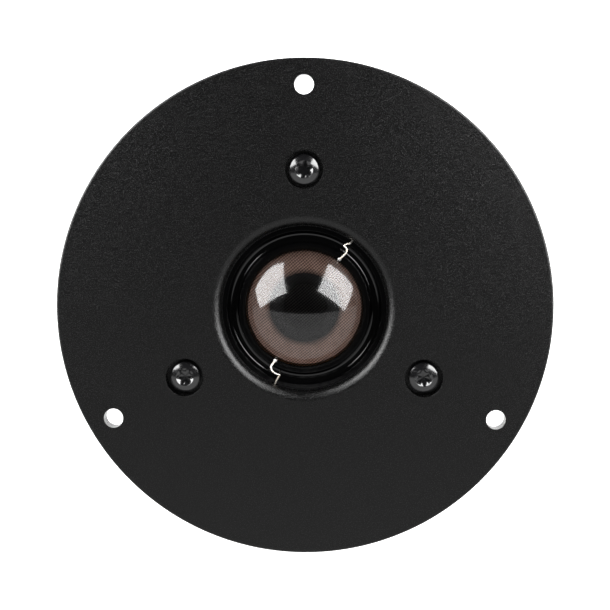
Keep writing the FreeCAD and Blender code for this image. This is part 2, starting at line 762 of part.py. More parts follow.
def make_rear_chamber():
    """A moulded cup with a screwed flange. It stands on a raised ring."""
    body = new_body("rear_chamber")
    mouth = f"({MOTOR_BACK} - dim.chamber_seal)"
    flange_back = f"({mouth} - dim.chamber_flange_thick)"
    floor = "(dim.chamber_bottom + dim.chamber_wall)"
    inside = "(dim.chamber_outer - dim.chamber_wall)"
    revolve(body, "cup", (
        ("0", "dim.chamber_bottom + dim.foot_recess"),
        ("dim.foot_inner", "dim.chamber_bottom + dim.foot_recess"),
        ("dim.foot_inner", "dim.chamber_bottom"),
        ("dim.chamber_outer - dim.chamber_round", "dim.chamber_bottom",
         "dim.chamber_outer - dim.chamber_round", "dim.chamber_bottom + dim.chamber_round"),
        ("dim.chamber_outer", "dim.chamber_bottom + dim.chamber_round"),
        ("dim.chamber_outer", flange_back),
        ("dim.chamber_flange_radius", flange_back),
        ("dim.chamber_flange_radius", mouth),
        (inside, mouth),
        (inside, f"{floor} + 1", f"{inside} - 1", f"{floor} + 1"),
        (f"{inside} - 1", floor),
        ("0", floor),
    ))
    hole = extrude(body, "hole", [(*on_circle("dim.chamber_screw_circle", 90),
                                   "dim.chamber_screw_shank_radius + 0.1")],
                   flange_back, "dim.chamber_flange_thick", "Pocket")
    repeat_round(body, hole, SCREW_COUNT)


def make_chamber_wadding():
    """A round pad of damping wool that fills most of the chamber."""
    body = new_body("chamber_wadding")
    low = "(dim.chamber_bottom + dim.chamber_wall + 0.2)"
    high = f"({low} + dim.wadding_height)"
    reach = "(dim.chamber_outer - dim.chamber_wall - dim.wadding_gap)"
    revolve(body, "pad", (
        ("0", low), (f"{reach} - 2", low, f"{reach} - 2", f"{low} + 2"),
        (reach, f"{low} + 2"), (reach, f"{high} - 2", f"{reach} - 2", f"{high} - 2"),
        (f"{reach} - 2", high), ("0", high),
    ))


# ---------------------------------------------------------------- assembly and export


def make_everything():
    make_faceplate()
    make_faceplate_gasket()
    make_screws("assembly_screws", "face_screw", "screw_circle", "plate_thick - bore_depth", True)
    dome = make_dome()
    make_solder_joints(dome)
    make_surround()
    make_voice_coil()
    make_coil_carrier()
    make_terminal("terminal_positive", "dim.terminal_x", "dim.wide_blade_half")
    make_terminal("terminal_negative", "-dim.terminal_x", "dim.narrow_blade_half")
    make_washer()
    make_terminal_rivets()
    make_leads()
    make_top_plate()
    make_magnet()
    make_back_plate()
    make_pole_piece()
    make_copper_cap()
    make_vent_felt()
    make_chamber_gasket()
    make_rear_chamber()
    make_chamber_wadding()
    make_screws("chamber_screws", "chamber_screw", "chamber_screw_circle",
                "-(top_plate_thick + magnet_thick + back_plate_thick + chamber_seal"
                " + chamber_flange_thick)", False)


def check_everything():
    """Stops before anything is written if a feature failed or a part has no sound shape."""
    for item in doc.Objects:
        if any(word in item.State for word in ("Invalid", "Error")):
            raise RuntimeError(f"{item.Name} is {item.State}")
    for part in parts:
        if part.Shape.isNull() or not part.Shape.isValid() or not part.Shape.Solids:
            raise RuntimeError(f"{part.Label} has no valid solid")


def export_everything():
    os.makedirs("parts", exist_ok=True)
    for part in parts:
        part.Shape.exportStep(f"parts/{part.Label}.step")
        print(f"{part.Label}: {len(part.Shape.Solids)} solid(s), {part.Shape.Volume:.1f} mm3")


fill_sheet()
make_everything()
doc.recompute()
check_everything()
export_everything()
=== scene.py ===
# %% [markdown]
# # A soft-dome tweeter
#
# A tweeter is the small loudspeaker for high notes. Current in a coil of fine wire pushes a cloth
# dome up and down in the field of a ring magnet. This lesson takes the CAD model of one as its
# frame, and gives each piece the shape and finish that it has on the bench.
#
# The model is in metres, +Z points out of the front, and the rear face of the flange is at zero.
# Sizes below are written in millimetres and turned into metres once, where a mesh is made.

import math

import bmesh
import bpy
import numpy as np
from mathutils import Matrix, Vector, noise


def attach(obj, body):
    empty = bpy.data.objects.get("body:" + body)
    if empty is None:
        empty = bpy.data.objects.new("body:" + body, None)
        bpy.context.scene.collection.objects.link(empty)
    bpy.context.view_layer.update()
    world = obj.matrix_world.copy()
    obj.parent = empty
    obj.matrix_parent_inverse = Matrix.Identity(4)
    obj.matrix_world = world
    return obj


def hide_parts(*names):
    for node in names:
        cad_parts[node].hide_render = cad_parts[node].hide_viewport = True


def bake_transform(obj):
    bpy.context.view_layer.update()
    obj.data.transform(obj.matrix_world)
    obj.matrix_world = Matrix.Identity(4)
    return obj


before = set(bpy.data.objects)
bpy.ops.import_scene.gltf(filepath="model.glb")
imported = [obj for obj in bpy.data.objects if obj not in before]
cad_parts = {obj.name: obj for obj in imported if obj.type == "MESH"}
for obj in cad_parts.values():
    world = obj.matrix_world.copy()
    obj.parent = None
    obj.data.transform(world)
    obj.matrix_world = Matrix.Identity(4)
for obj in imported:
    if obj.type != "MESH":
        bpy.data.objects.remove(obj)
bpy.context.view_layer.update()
MM = 0.001
scene = bpy.context.scene

# %% [markdown]
# ## Turned pieces
#
# Most of a tweeter is round: plates, rings, a dome. Each one is an outline of (radius, height)
# points turned about the axis. Blender's Spin or Screw would do it too, but a few lines of our own
# give closed poles and outward faces straight away. Corners are rounded in the outline, so that
# every edge catches a little light, as a real edge does.


# %% Outlines and turning
def arc(radius, height, reach, start, end, steps):
    """Points of an arc about (radius, height), with its angles in degrees."""
    angles = np.radians(np.linspace(start, end, steps + 1))
    return [(radius + reach * math.cos(a), height + reach * math.sin(a)) for a in angles]


def ease(outline, reach, steps):
    """Rounds the corners of a closed outline, apart from those on the axis."""
    points = []
    for here, before, after in zip(outline, outline[-1:] + outline[:-1], outline[1:] + outline[:1]):
        p, a, b = (np.array(v, float) for v in (here, before, after))
        if p[0] == 0:
            points.append(tuple(p))
            continue
        back, on = (a - p) / np.linalg.norm(a - p), (b - p) / np.linalg.norm(b - p)
        first, last = p + back * reach, p + on * reach
        for t in np.linspace(0, 1, steps + 1):
            points.append(tuple((1 - t) ** 2 * first + 2 * t * (1 - t) * p + t * t * last))
    return points


def place(name, mesh):
    """A new object in the scene, at the origin, with a mesh."""
    piece = bpy.data.objects.new(name, mesh)
    scene.collection.objects.link(piece)
    return piece


def whole(name, work):
    """Makes a mesh and its object of loose parts in memory."""
    mesh = bpy.data.meshes.new(name)
    work.to_mesh(mesh)
    work.free()
    return place(name, mesh)


def mesh_piece(name, vertices, faces, smooth_angle=35):
    """A mesh object with vertices in millimetres, smooth except over sharp edges."""
    mesh = bpy.data.meshes.new(name)
    mesh.from_pydata([Vector(v) * MM for v in vertices], [], faces)
    piece = place(name, mesh)
    finish_mesh(piece, smooth_angle)
    return piece


def finish_mesh(piece, smooth_angle=35):
    """Merges doubles, points faces outwards and shades smooth except over sharp edges."""
    work = bmesh.new()
    work.from_mesh(piece.data)
    bmesh.ops.remove_doubles(work, verts=work.verts, dist=1e-7)
    bmesh.ops.recalc_face_normals(work, faces=work.faces)
    for face in work.faces:
        face.smooth = True
    limit = math.radians(smooth_angle)
    for edge in work.edges:
        edge.smooth = len(edge.link_faces) == 2 and edge.calc_face_angle(0) < limit
    work.to_mesh(piece.data)
    work.free()


HOLD, LONG_SIDE = 0.03, 0.24


def held(outline):
    """Adds a point near both ends of each long side, so that smooth shading bends only the corners."""
    points = []
    for a, b in zip(outline, outline[1:] + outline[:1]):
        points.append(tuple(a))
        length = math.dist(a, b)
        if length > LONG_SIDE and max(a[0], b[0]) > 0:
            for share in (HOLD / length, 1 - HOLD / length):
                points.append((a[0] + (b[0] - a[0]) * share, a[1] + (b[1] - a[1]) * share))
    return points


def faces_between(rows):
    """Faces from each row of vertex numbers to the next. A pole's row repeats one number."""
    faces = []
    for low, high in zip(rows, rows[1:]):
        for step in range(len(low)):
            after = (step + 1) % len(low)
            corners = dict.fromkeys((low[step], low[after], high[after], high[step]))
            if len(corners) > 2:
                faces.append(tuple(corners))
    return faces


def turn(name, outline, segments=128, smooth_angle=35):
    """A closed outline turned about the axis. A point at radius 0 becomes a pole."""
    vertices, rows = [], []
    for radius, height in held(outline):
        start = len(vertices)
        if radius < 1e-6:
            vertices.append((0, 0, height))
            rows.append([start] * segments)
            continue
        for step in range(segments):
            angle = 2 * math.pi * step / segments
            vertices.append((radius * math.cos(angle), radius * math.sin(angle), height))
        rows.append(list(range(start, start + segments)))
    return mesh_piece(name, vertices, faces_between(rows + rows[:1]), smooth_angle)


def placed_on_circle(radius, first_degrees, count):
    """Points evenly round the axis, in millimetres."""
    angles = [math.radians(first_degrees + 360 * i / count) for i in range(count)]
    return [(radius * math.cos(a), radius * math.sin(a)) for a in angles]


def cut(piece, cutters):
    """Takes closed cutters out of a piece for good."""
    for cutter in cutters:
        modifier = piece.modifiers.new("cut", "BOOLEAN")
        modifier.operation = "DIFFERENCE"
        modifier.solver = "EXACT"
        modifier.object = cutter
    graph = bpy.context.evaluated_depsgraph_get()
    done = bpy.data.meshes.new_from_object(piece.evaluated_get(graph))
    piece.modifiers.clear()
    piece.data = done
    for cutter in cutters:
        bpy.data.objects.remove(cutter)


def shifted(piece, x, y, z=0.0):
    """Moves a mesh within its object, in millimetres."""
    piece.data.transform(Matrix.Translation(Vector((x, y, z)) * MM))
    return piece


print("outlines can be turned, rounded and cut")

# %% [markdown]
# ## Finishes as sums
#
# A finish is a small network of nodes. Written as sums it is easier to read: `grain * 0.5 + 0.2`
# adds a Multiply and an Add node. One class wraps a socket and turns Python's operators into Math
# nodes, and one method adds any other node. Vectors and colours go through their own nodes, because
# a Math node would turn them into one number. The plain values given first are a finish's average,
# which a viewer that reads no nodes will show.


# %% Finishes
class Signal:
    """A socket of a finish. Sums with it add Math nodes."""

    def __init__(self, finish, socket):
        self.finish = finish
        self.socket = socket

    def sum(self, operation, *others):
        return self.finish.add("ShaderNodeMath", {"operation": operation}, dict(enumerate(others)))

    def __add__(self, other):
        return self.sum("ADD", self, other)

    def __sub__(self, other):
        return self.sum("SUBTRACT", self, other)

    def __mul__(self, other):
        return self.sum("MULTIPLY", self, other)

    def __pow__(self, other):
        return self.sum("POWER", self, other)

    __radd__ = __add__
    __rmul__ = __mul__

    def ramp(self, low, high, first=0.0, last=1.0):
        """Runs smoothly from first to last as the signal goes from low to high."""
        return self.finish.add("ShaderNodeMapRange", {"interpolation_type": "SMOOTHSTEP"},
                               {0: self, 1: low, 2: high, 3: first, 4: last})

    def sine(self):
        return self.sum("SINE", self)

    def size(self):
        return self.sum("ABSOLUTE", self)


class Finish:
    """A material under construction, around one Principled shader."""

    def __init__(self, name, **settings):
        self.material = bpy.data.materials.new(name)
        self.material.use_nodes = True
        self.tree = self.material.node_tree
        self.tree.nodes.clear()
        self.shader = self.tree.nodes.new("ShaderNodeBsdfPrincipled")
        output = self.tree.nodes.new("ShaderNodeOutputMaterial")
        self.tree.links.new(self.shader.outputs[0], output.inputs["Surface"])
        for socket, value in settings.items():
            self.set(socket.replace("_", " ").title().replace("Ior", "IOR"), value)
        self.points = self.add("ShaderNodeTexCoord", {}, {}, "Object")

    def add(self, kind, settings, inputs, output=0):
        """Adds a node: its settings first, then the values or links of its sockets."""
        node = self.tree.nodes.new(kind)
        for key, value in settings.items():
            setattr(node, key, value)
        for key, value in inputs.items():
            self.give(node.inputs[key], value)
        return Signal(self, node.outputs[output])

    def give(self, socket, value):
        if isinstance(value, Signal):
            self.tree.links.new(value.socket, socket)
        elif socket.type == "RGBA" and len(value) == 3:
            socket.default_value = (*value, 1)
        else:
            socket.default_value = value

    def set(self, name, value):
        """Gives a value or a signal to a socket of the Principled shader."""
        self.give(self.shader.inputs[name], value)

    def axis(self, letter):
        """One coordinate of the object, in millimetres."""
        return self.add("ShaderNodeSeparateXYZ", {}, {0: self.points}, letter) * 1000

    def noise(self, size, detail=2.0, roughness=0.5):
        """Smooth noise from 0 to 1 whose lumps are about size millimetres across."""
        return self.add("ShaderNodeTexNoise", {"noise_dimensions": "3D"},
                        {"Vector": self.points, "Scale": 1000 / size, "Detail": detail,
                         "Roughness": roughness})

    def streaks(self, lumps, stretch, detail=2.0):
        """Noise with a number of lumps to the metre, made finer by a factor for each axis."""
        points = self.add("ShaderNodeVectorMath", {"operation": "MULTIPLY"}, {0: self.points, 1: stretch})
        return self.add("ShaderNodeTexNoise", {}, {"Vector": points, "Scale": lumps, "Detail": detail})

    def cells(self, size):
        """Distance to the nearest of scattered points that lie about size millimetres apart."""
        return self.add("ShaderNodeTexVoronoi", {},
                        {"Vector": self.points, "Scale": 1000 / size}, "Distance")

    def mix(self, share, first, last):
        """A colour between two, by share."""
        return self.add("ShaderNodeMix", {"data_type": "RGBA"}, {0: share, 6: first, 7: last}, 2)

    def bump(self, height, depth, strength):
        """Makes a relief of a signal. depth is in millimetres for a change of 1."""
        self.set("Normal", self.add("ShaderNodeBump", {}, {
            "Strength": strength, "Distance": depth * MM, "Height": height}))

    def radius(self):
        """Distance from the axis, in millimetres."""
        x, y = self.axis("X"), self.axis("Y")
        return (x * x + y * y) ** 0.5


def coat(piece, finish):
    """Gives a piece one finish."""
    piece.data.materials.clear()
    piece.data.materials.append(finish.material)


def keep(finish, *nodes):
    """Gives CAD nodes that stay as they are a finish."""
    for node in nodes:
        coat(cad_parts[node], finish)


print("finishes are ready to write")

# %% [markdown]
# ## Shapes that repeat
#
# Screws, rivets, coil turns and the strands of a lead repeat, or follow a path. Geometry Nodes make
# them from one small shape and a rule. A tree is built once, its sizes are inputs of the modifier,
# and the result is turned into a plain mesh, because an export does not carry instances.


# %% Geometry Nodes helpers
def new_rule(name, sizes):
    """An empty Geometry Nodes tree whose inputs are a geometry and the named sizes."""
    tree = bpy.data.node_groups.new(name, "GeometryNodeTree")
    tree.interface.new_socket("Geometry", in_out="INPUT", socket_type="NodeSocketGeometry")
    for label, kind in sizes.items():
        tree.interface.new_socket(label, in_out="INPUT", socket_type=f"NodeSocket{kind}")
    tree.interface.new_socket("Geometry", in_out="OUTPUT", socket_type="NodeSocketGeometry")
    return tree


def node(tree, kind, settings=None, inputs=None):
    """Adds a node to a rule: its settings first, then the values or links of its sockets."""
    made = tree.nodes.new(kind)
    for key, value in (settings or {}).items():
        setattr(made, key, value)
    for key, value in (inputs or {}).items():
        if isinstance(value, bpy.types.NodeSocket):
            tree.links.new(value, made.inputs[key])
        else:
            made.inputs[key].default_value = value
    return made


def end_rule(tree, geometry):
    """Ends a rule: real instances, smooth shading, and the material from the input Finish."""
    source = next(n for n in tree.nodes if n.bl_idname == "NodeGroupInput")
    real = node(tree, "GeometryNodeRealizeInstances", {}, {"Geometry": geometry})
    shaded = node(tree, "GeometryNodeSetShadeSmooth", {}, {"Geometry": real.outputs[0]})
    painted = node(tree, "GeometryNodeSetMaterial", {},
                   {"Geometry": shaded.outputs[0], "Material": source.outputs["Finish"]})
    output = node(tree, "NodeGroupOutput")
    tree.links.new(painted.outputs[0], output.inputs[0])


def grow(name, tree, base, **sizes):
    """Runs a rule on a base mesh and returns the result as a plain mesh object at the origin."""
    host = place(f"{name}_base", base)
    modifier = host.modifiers.new("rule", "NODES")
    modifier.node_group = tree
    for item in tree.interface.items_tree:
        if item.in_out == "INPUT" and item.name in sizes:
            modifier[item.identifier] = sizes[item.name]
    host.update_tag()
    graph = bpy.context.evaluated_depsgraph_get()
    mesh = bpy.data.meshes.new_from_object(host.evaluated_get(graph))
    bpy.data.objects.remove(host)
    piece = place(name, mesh)
    piece.data.name = name
    print(f"{name}: {len(mesh.vertices)} vertices")
    return piece


def points_mesh(name, points, chain=False):
    """A mesh of bare points in millimetres, joined in a chain where asked."""
    mesh = bpy.data.meshes.new(name)
    edges = [(i, i + 1) for i in range(len(points) - 1)] if chain else []
    mesh.from_pydata([Vector(p) * MM for p in points], edges, [])
    return mesh


def copies_rule():
    """Puts a copy of an object's mesh on each point, turned by the angles in the attribute spin."""
    tree = new_rule("copies on points", {"Shape": "Object", "Finish": "Material"})
    source = node(tree, "NodeGroupInput")
    shape = node(tree, "GeometryNodeObjectInfo", {"transform_space": "ORIGINAL"},
                 {"Object": source.outputs["Shape"]})
    spin = node(tree, "GeometryNodeInputNamedAttribute", {"data_type": "FLOAT_VECTOR"}, {"Name": "spin"})
    dots = node(tree, "GeometryNodeMeshToPoints", {}, {"Mesh": source.outputs["Geometry"]})
    copies = node(tree, "GeometryNodeInstanceOnPoints", {}, {
        "Points": dots.outputs[0], "Instance": shape.outputs["Geometry"],
        "Rotation": spin.outputs["Attribute"]})
    end_rule(tree, copies.outputs[0])
    return tree


COPIES = copies_rule()


def copies(name, shape, places, turns, finish):
    """One piece made of a shape repeated at places, in millimetres, turned by Euler angles."""
    base = points_mesh(name, places)
    spin = base.attributes.new("spin", "FLOAT_VECTOR", "POINT")
    spin.data.foreach_set("vector", np.array(turns, np.float32).ravel())
    piece = grow(name, COPIES, base, Shape=shape, Finish=finish.material)
    bpy.data.objects.remove(shape)
    finish_mesh(piece)
    return piece


print("rules can be written and grown")

# %% [markdown]
# ## Faceplate
#
# The faceplate is a die-cast disc, 4 mm thick, with a rounded lip that opens towards the dome. It
# is sprayed with a fine matt powder that melts into a skin like very fine orange peel. It is turned
# from its outline, and its holes are cut with small bevels, as a casting's are after machining.

# %% Faceplate shape
PLATE_RADIUS, PLATE_TOP, THROAT, LIP = 55.0, 4.0, 18.3, 2.35
RIM_ROUND, FOOT_ROUND = 0.5, 0.2
SEAT_RADIUS, SEAT_DEPTH = 26.1, 1.6
SCREW_CIRCLE, SCREW_COUNT, SCREW_ANGLE = 30.7, 3, 90
SCREW_HOLE, COUNTERBORE, SCREW_SEAT = 1.95, 4.2, 1.3
MOUNT_CIRCLE, MOUNT_HOLE = 49.15, 2.15
TONGUE_SLOT = ((-10.7, -43.2, -1), (10.7, -20, SEAT_DEPTH))
RIVET_ROOM = ((-8.5, -41, -1), (8.5, -36, 2.4))
PAST = 1.0


def drill(name, steps, x, y, segments=64):
    """A stepped cutter whose outline is given by (radius, height) points, upwards."""
    outline = [(0, steps[0][1])] + steps + [(0, steps[-1][1])]
    return shifted(turn(name, outline, segments), x, y)


def block(name, low, high):
    """A box cutter between two corners, in millimetres."""
    work = bmesh.new()
    bmesh.ops.create_cube(work, size=1)
    span = Vector(high) - Vector(low)
    centre = (Vector(high) + Vector(low)) / 2
    for vertex in work.verts:
        vertex.co = (Vector(vertex.co[i] * span[i] for i in range(3)) + centre) * MM
    return whole(name, work)


lip_arc = arc(THROAT + LIP, PLATE_TOP - LIP, LIP, 180, 90, 24)
rim_arc = arc(PLATE_RADIUS - RIM_ROUND, PLATE_TOP - RIM_ROUND, RIM_ROUND, 90, 0, 8)
foot_arc = arc(PLATE_RADIUS - FOOT_ROUND, FOOT_ROUND, FOOT_ROUND, 0, -90, 4)
plate_outline = lip_arc + rim_arc + foot_arc + [
    (SEAT_RADIUS, 0), (SEAT_RADIUS, SEAT_DEPTH), (THROAT, SEAT_DEPTH)]
faceplate = turn("faceplate_casting", plate_outline, 256)


def edge(radius, bevel):
    """The last points of a drill's outline: a small bevel at the plate's top, then past it."""
    return [(radius + bevel[0], PLATE_TOP - 0.04), (radius + bevel[1], PLATE_TOP + 0.02),
            (radius + bevel[1], PLATE_TOP + PAST)]


cutters = [block("tongue_slot", *TONGUE_SLOT), block("rivet_room", *RIVET_ROOM)]
screw_bore = [(SCREW_HOLE, -PAST), (SCREW_HOLE, SCREW_SEAT), (COUNTERBORE, SCREW_SEAT),
              (COUNTERBORE, PLATE_TOP - 0.10)] + edge(COUNTERBORE, (0.02, 0.08))
mount_bore = [(MOUNT_HOLE, -PAST)] + edge(MOUNT_HOLE, (0.0, 0.03))
for bore, circle in ((screw_bore, SCREW_CIRCLE), (mount_bore, MOUNT_CIRCLE)):
    for x, y in placed_on_circle(circle, SCREW_ANGLE, SCREW_COUNT):
        cutters.append(drill("bore", bore, x, y))
cut(faceplate, cutters)
finish_mesh(faceplate)
print(f"faceplate: {len(faceplate.data.polygons)} faces")

# %% Powder coat
powder = Finish("powder coat", base_color=(0.001, 0.001, 0.001), roughness=0.25, specular_ior_level=0.40)
grain = powder.noise(0.20, 1, 0.4)
swell = powder.noise(1.6, 2, 0.5)
speck = grain.ramp(0.40, 0.72)
powder.set("Roughness", grain.ramp(0.3, 0.7, 0.22, 0.28))
powder.set("Base Color", powder.mix(speck, (0.0001, 0.0001, 0.0001), (0.0042, 0.0042, 0.0042)))
powder.bump(grain + swell * 0.03, 0.068, 1.0)
coat(faceplate, powder)
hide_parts("faceplate")
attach(faceplate, "chassis")
print(f"faceplate: {len(faceplate.data.vertices)} vertices under powder coat")

# %% [markdown]
# ## Screws
#
# Three black button-head screws hold the faceplate to the motor, and three smaller ones hold the
# rear chamber. Both have a six-lobe socket. One head is built ring by ring, with the radius of each
# ring of the socket following a cosine with six waves, and Geometry Nodes put copies in place.


# %% Screw shape
LOBES, THREAD_PITCH, THREAD_DEPTH = 6, 0.5, 0.2
RIM_FILLET, MOUTH_WIDTH = 0.2, 0.32


def lobed_screw(name, head, shank, length, rise, crown, socket_mid, socket_wave, depth, points):
    """A screw whose seat is at height 0. The thread is a stack of fine ridges."""
    sphere = (head ** 2 + crown ** 2) / (2 * crown)

    def crown_height(radius):
        return rise + crown - sphere + math.sqrt(sphere ** 2 - radius ** 2)

    rings = []

    def ring(mid, height, wave=0.0):
        rings.append((mid, wave, height))

    ring(0, -length)
    ring(shank - 0.45, -length)
    height = -length
    while height < -THREAD_PITCH:
        ring(shank - 0.02 - THREAD_DEPTH, height + 0.1)
        ring(shank - 0.02, height + THREAD_PITCH * 0.55)
        height += THREAD_PITCH
    ring(shank - 0.1, -0.1)
    ring(shank - 0.1, 0)
    ring(head - 0.12, 0)
    ring(head, 0.1)
    ring(head, rise - RIM_FILLET)
    for radius, height in arc(head - RIM_FILLET, rise - RIM_FILLET, RIM_FILLET, 20, 70, 2):
        ring(radius, height)
    mouth = socket_mid + socket_wave + MOUTH_WIDTH
    for share in np.linspace(0, 1, 12):
        radius = (head - 0.22) * (1 - share) + mouth * share
        ring(radius, crown_height(radius) - 0.02 * (1 - share))
    mouth_height, floor = crown_height(mouth), crown_height(0) - depth
    ring(mouth - 0.06, mouth_height - 0.05)
    ring(socket_mid + 0.09, mouth_height - 0.34, socket_wave)
    ring(socket_mid, mouth_height - 0.46, socket_wave)
    ring(socket_mid, floor + 0.08, socket_wave)
    ring(socket_mid - 0.08, floor, socket_wave)
    ring(0, floor - 0.12)

    vertices, rows = [], []
    for mid, wave, height in rings:
        start = len(vertices)
        if mid == 0:
            vertices.append((0, 0, height))
            rows.append([start] * points)
            continue
        for step in range(points):
            angle = 2 * math.pi * step / points
            swing = math.cos(LOBES * angle)
            radius = mid + wave * (swing + 0.18 * (swing * swing - 0.5))
            vertices.append((radius * math.cos(angle), radius * math.sin(angle), height))
        rows.append(list(range(start, start + points)))
    return mesh_piece(name, vertices, faces_between(rows), 40)


print("screw heads have six lobes")

# %% Screws in place
oxide = Finish("black oxide", base_color=(0.004, 0.004, 0.0045), roughness=0.16,
               specular_ior_level=0.8, coat_weight=0.4, coat_roughness=0.1)
oxide_mottle = oxide.noise(0.35, 3, 0.6)
oxide.set("Roughness", oxide_mottle.ramp(0.3, 0.7, 0.13, 0.20))
oxide.set("Base Color", oxide.mix(oxide_mottle, (0.003, 0.003, 0.0035), (0.006, 0.006, 0.0065)))
oxide.bump(oxide_mottle, 0.004, 0.4)

face_screw = lobed_screw("face_screw", head=3.45, shank=1.75, length=5.1, rise=1.55, crown=0.75,
                         socket_mid=1.40, socket_wave=0.245, depth=1.5, points=96)
face_places = [(x, y, SCREW_SEAT) for x, y in placed_on_circle(SCREW_CIRCLE, SCREW_ANGLE, SCREW_COUNT)]
face_turns = [(0, 0, math.radians(a)) for a in (22, 4, 38)]
face_screws = copies("faceplate_screws", face_screw, face_places, face_turns, oxide)
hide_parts("assembly_screws")
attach(face_screws, "chassis")

CHAMBER_SEAT, CHAMBER_SCREW_CIRCLE = -27.3, 32.3
rear_screw = lobed_screw("rear_screw", head=2.65, shank=1.45, length=6.0, rise=1.2, crown=0.6,
                         socket_mid=1.06, socket_wave=0.19, depth=1.1, points=72)
rear_places = [(x, y, CHAMBER_SEAT)
               for x, y in placed_on_circle(CHAMBER_SCREW_CIRCLE, SCREW_ANGLE, SCREW_COUNT)]
rear_turns = [(math.pi, 0, math.radians(a)) for a in (10, 47, 25)]
rear_screws = copies("rear_chamber_screws", rear_screw, rear_places, rear_turns, oxide)
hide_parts("chamber_screws")
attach(rear_screws, "chassis")

# %% [markdown]
# ## Dome
#
# The dome is a disc of fine cloth, pressed to a sphere and doped with a clear, slightly tacky
# lacquer. The lacquer shines, and between the threads the light goes through, so the copper cap and
# the dark vent under the dome show. The cloth is a thin closed shell. Its weave is laid flat over
# the dome, as cloth is, with two sets of threads at right angles, and the gaps are half open.

# %% Dome shape
DOME_SPHERE, DOME_RADIUS, RIM_LOW, RIM_HIGH, RIM_OUT = 17.5, 13.3, 1.2, 1.4, 13.8
CLOTH, INNER_RADIUS, RIM_EDGE = 0.16, 13.06, 0.05
CENTRE = RIM_HIGH - math.sqrt(DOME_SPHERE ** 2 - DOME_RADIUS ** 2)


def dome_arc(sphere, out, steps):
    """Points of a cap, from its pole out to a radius."""
    end = math.asin(out / sphere)
    angles = np.linspace(0, end, steps + 1)
    return [(sphere * math.sin(a), CENTRE + sphere * math.cos(a)) for a in angles]


cap_outside = dome_arc(DOME_SPHERE, DOME_RADIUS, 56)
cap_inside = dome_arc(DOME_SPHERE - CLOTH, INNER_RADIUS, 40)
rim = [(RIM_OUT - RIM_EDGE, RIM_HIGH), (RIM_OUT, RIM_HIGH - 0.06), (RIM_OUT, RIM_LOW), (13.24, RIM_LOW)]
dome = turn("cloth_dome", cap_outside + rim + cap_inside[::-1], 192, 30)
print(f"dome stands {cap_outside[0][1]:.2f} mm above the flange's rear face")

# %% Doped cloth
PITCH, WEAVE_ANGLE = 0.51, math.radians(40)
cloth = Finish("doped cloth", base_color=(0.001, 0.0009, 0.0008), roughness=0.12,
               specular_ior_level=0.5, coat_weight=1.0, coat_roughness=0.035)
x, y = cloth.axis("X"), cloth.axis("Y")
along = x * math.cos(WEAVE_ANGLE) + y * math.sin(WEAVE_ANGLE)
across = y * math.cos(WEAVE_ANGLE) - x * math.sin(WEAVE_ANGLE)
wobble = cloth.noise(2.4, 1) * 0.10
warp = ((along + wobble) * (math.pi / PITCH)).sine().size()
weft = ((across + wobble) * (math.pi / PITCH)).sine().size()
threads = warp * 0.40 + weft * 0.60
cover = threads.ramp(0.30, 1.0)
# Painted shade: the cloth turns opaque towards its rim, so the edge reads darker where the dome curves down
# to the surround.
rim_painted_shade = cloth.radius().ramp(12.4, 13.6, 0.0, 0.35)
skin = cloth.noise(3.0, 2).ramp(0.3, 0.7, 0.94, 1.0)
cloth.set("Alpha", (cover * 0.34 + 0.32) * skin + rim_painted_shade)
cloth.set("Base Color", cloth.mix(cover, (0.0006, 0.0005, 0.0005), (0.0014, 0.0013, 0.0012)))
cloth.set("Roughness", cover.ramp(0, 1, 0.10, 0.16))
cloth.bump(threads, 0.001, 0.1)
coat(dome, cloth)
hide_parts("dome")
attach(dome, "diaphragm")
print(f"a weave of {1 / PITCH:.1f} threads to the millimetre")

# %% [markdown]
# ## Surround
#
# The surround lets the dome move and centres it. It is the same kind of cloth with a thick black
# lacquer, and it is an inverted roll: a deep trough with a rounded floor, between two flat flanges.
# Its walls hide the lamps from the floor, so the trough is black with two thin, soft lines. When
# the dome moves, the roll bends: its inner edge follows the diaphragm and its outer edge stays, so
# the bend grows towards the axis.

# %% Surround shape
ROLL_MIDDLE, ROLL_FLAT, ROLL_RADIUS, ROLL_DROP, ROLL_WALL, FLANGE_TOP = 15.87, 0.25, 1.1, 1.05, 0.2, 1.2
SURROUND_INNER, SURROUND_OUTER, EDGE_ROUND = 13.2, 18.15, 0.03

left, right, turn_height = ROLL_MIDDLE - ROLL_FLAT, ROLL_MIDDLE + ROLL_FLAT, FLANGE_TOP - ROLL_DROP
inner_edge, outer_edge = left - ROLL_RADIUS, right + ROLL_RADIUS
top_side = [(SURROUND_INNER, FLANGE_TOP)]
top_side += arc(inner_edge - EDGE_ROUND, FLANGE_TOP - EDGE_ROUND, EDGE_ROUND, 90, 0, 4)
top_side += arc(left, turn_height, ROLL_RADIUS, 180, 270, 28)
top_side += arc(right, turn_height, ROLL_RADIUS, 270, 360, 28)
top_side += arc(outer_edge + EDGE_ROUND, FLANGE_TOP - EDGE_ROUND, EDGE_ROUND, 180, 90, 4)
top_side += [(SURROUND_OUTER, FLANGE_TOP)]
flange_low, under_reach = FLANGE_TOP - ROLL_WALL, ROLL_RADIUS + ROLL_WALL
under_side = [(SURROUND_OUTER, flange_low), (right + under_reach, flange_low)]
under_side += arc(right, turn_height, under_reach, 0, -90, 20)
under_side += arc(left, turn_height, under_reach, -90, -180, 20)
under_side += [(left - under_reach, flange_low), (SURROUND_INNER, flange_low)]
surround = turn("roll_surround", top_side + under_side, 224, 50)

rubbery = Finish("black lacquered cloth", base_color=(0.0008, 0.0008, 0.0009), roughness=0.11,
                 specular_ior_level=0.5)
ripple = rubbery.noise(1.3, 3, 0.6)
fine = rubbery.noise(0.25, 2, 0.5)
rubbery.set("Roughness", ripple.ramp(0.3, 0.7, 0.05, 0.11))
rubbery.bump(ripple * 0.8 + fine * 0.2, 0.015, 0.3)
coat(surround, rubbery)


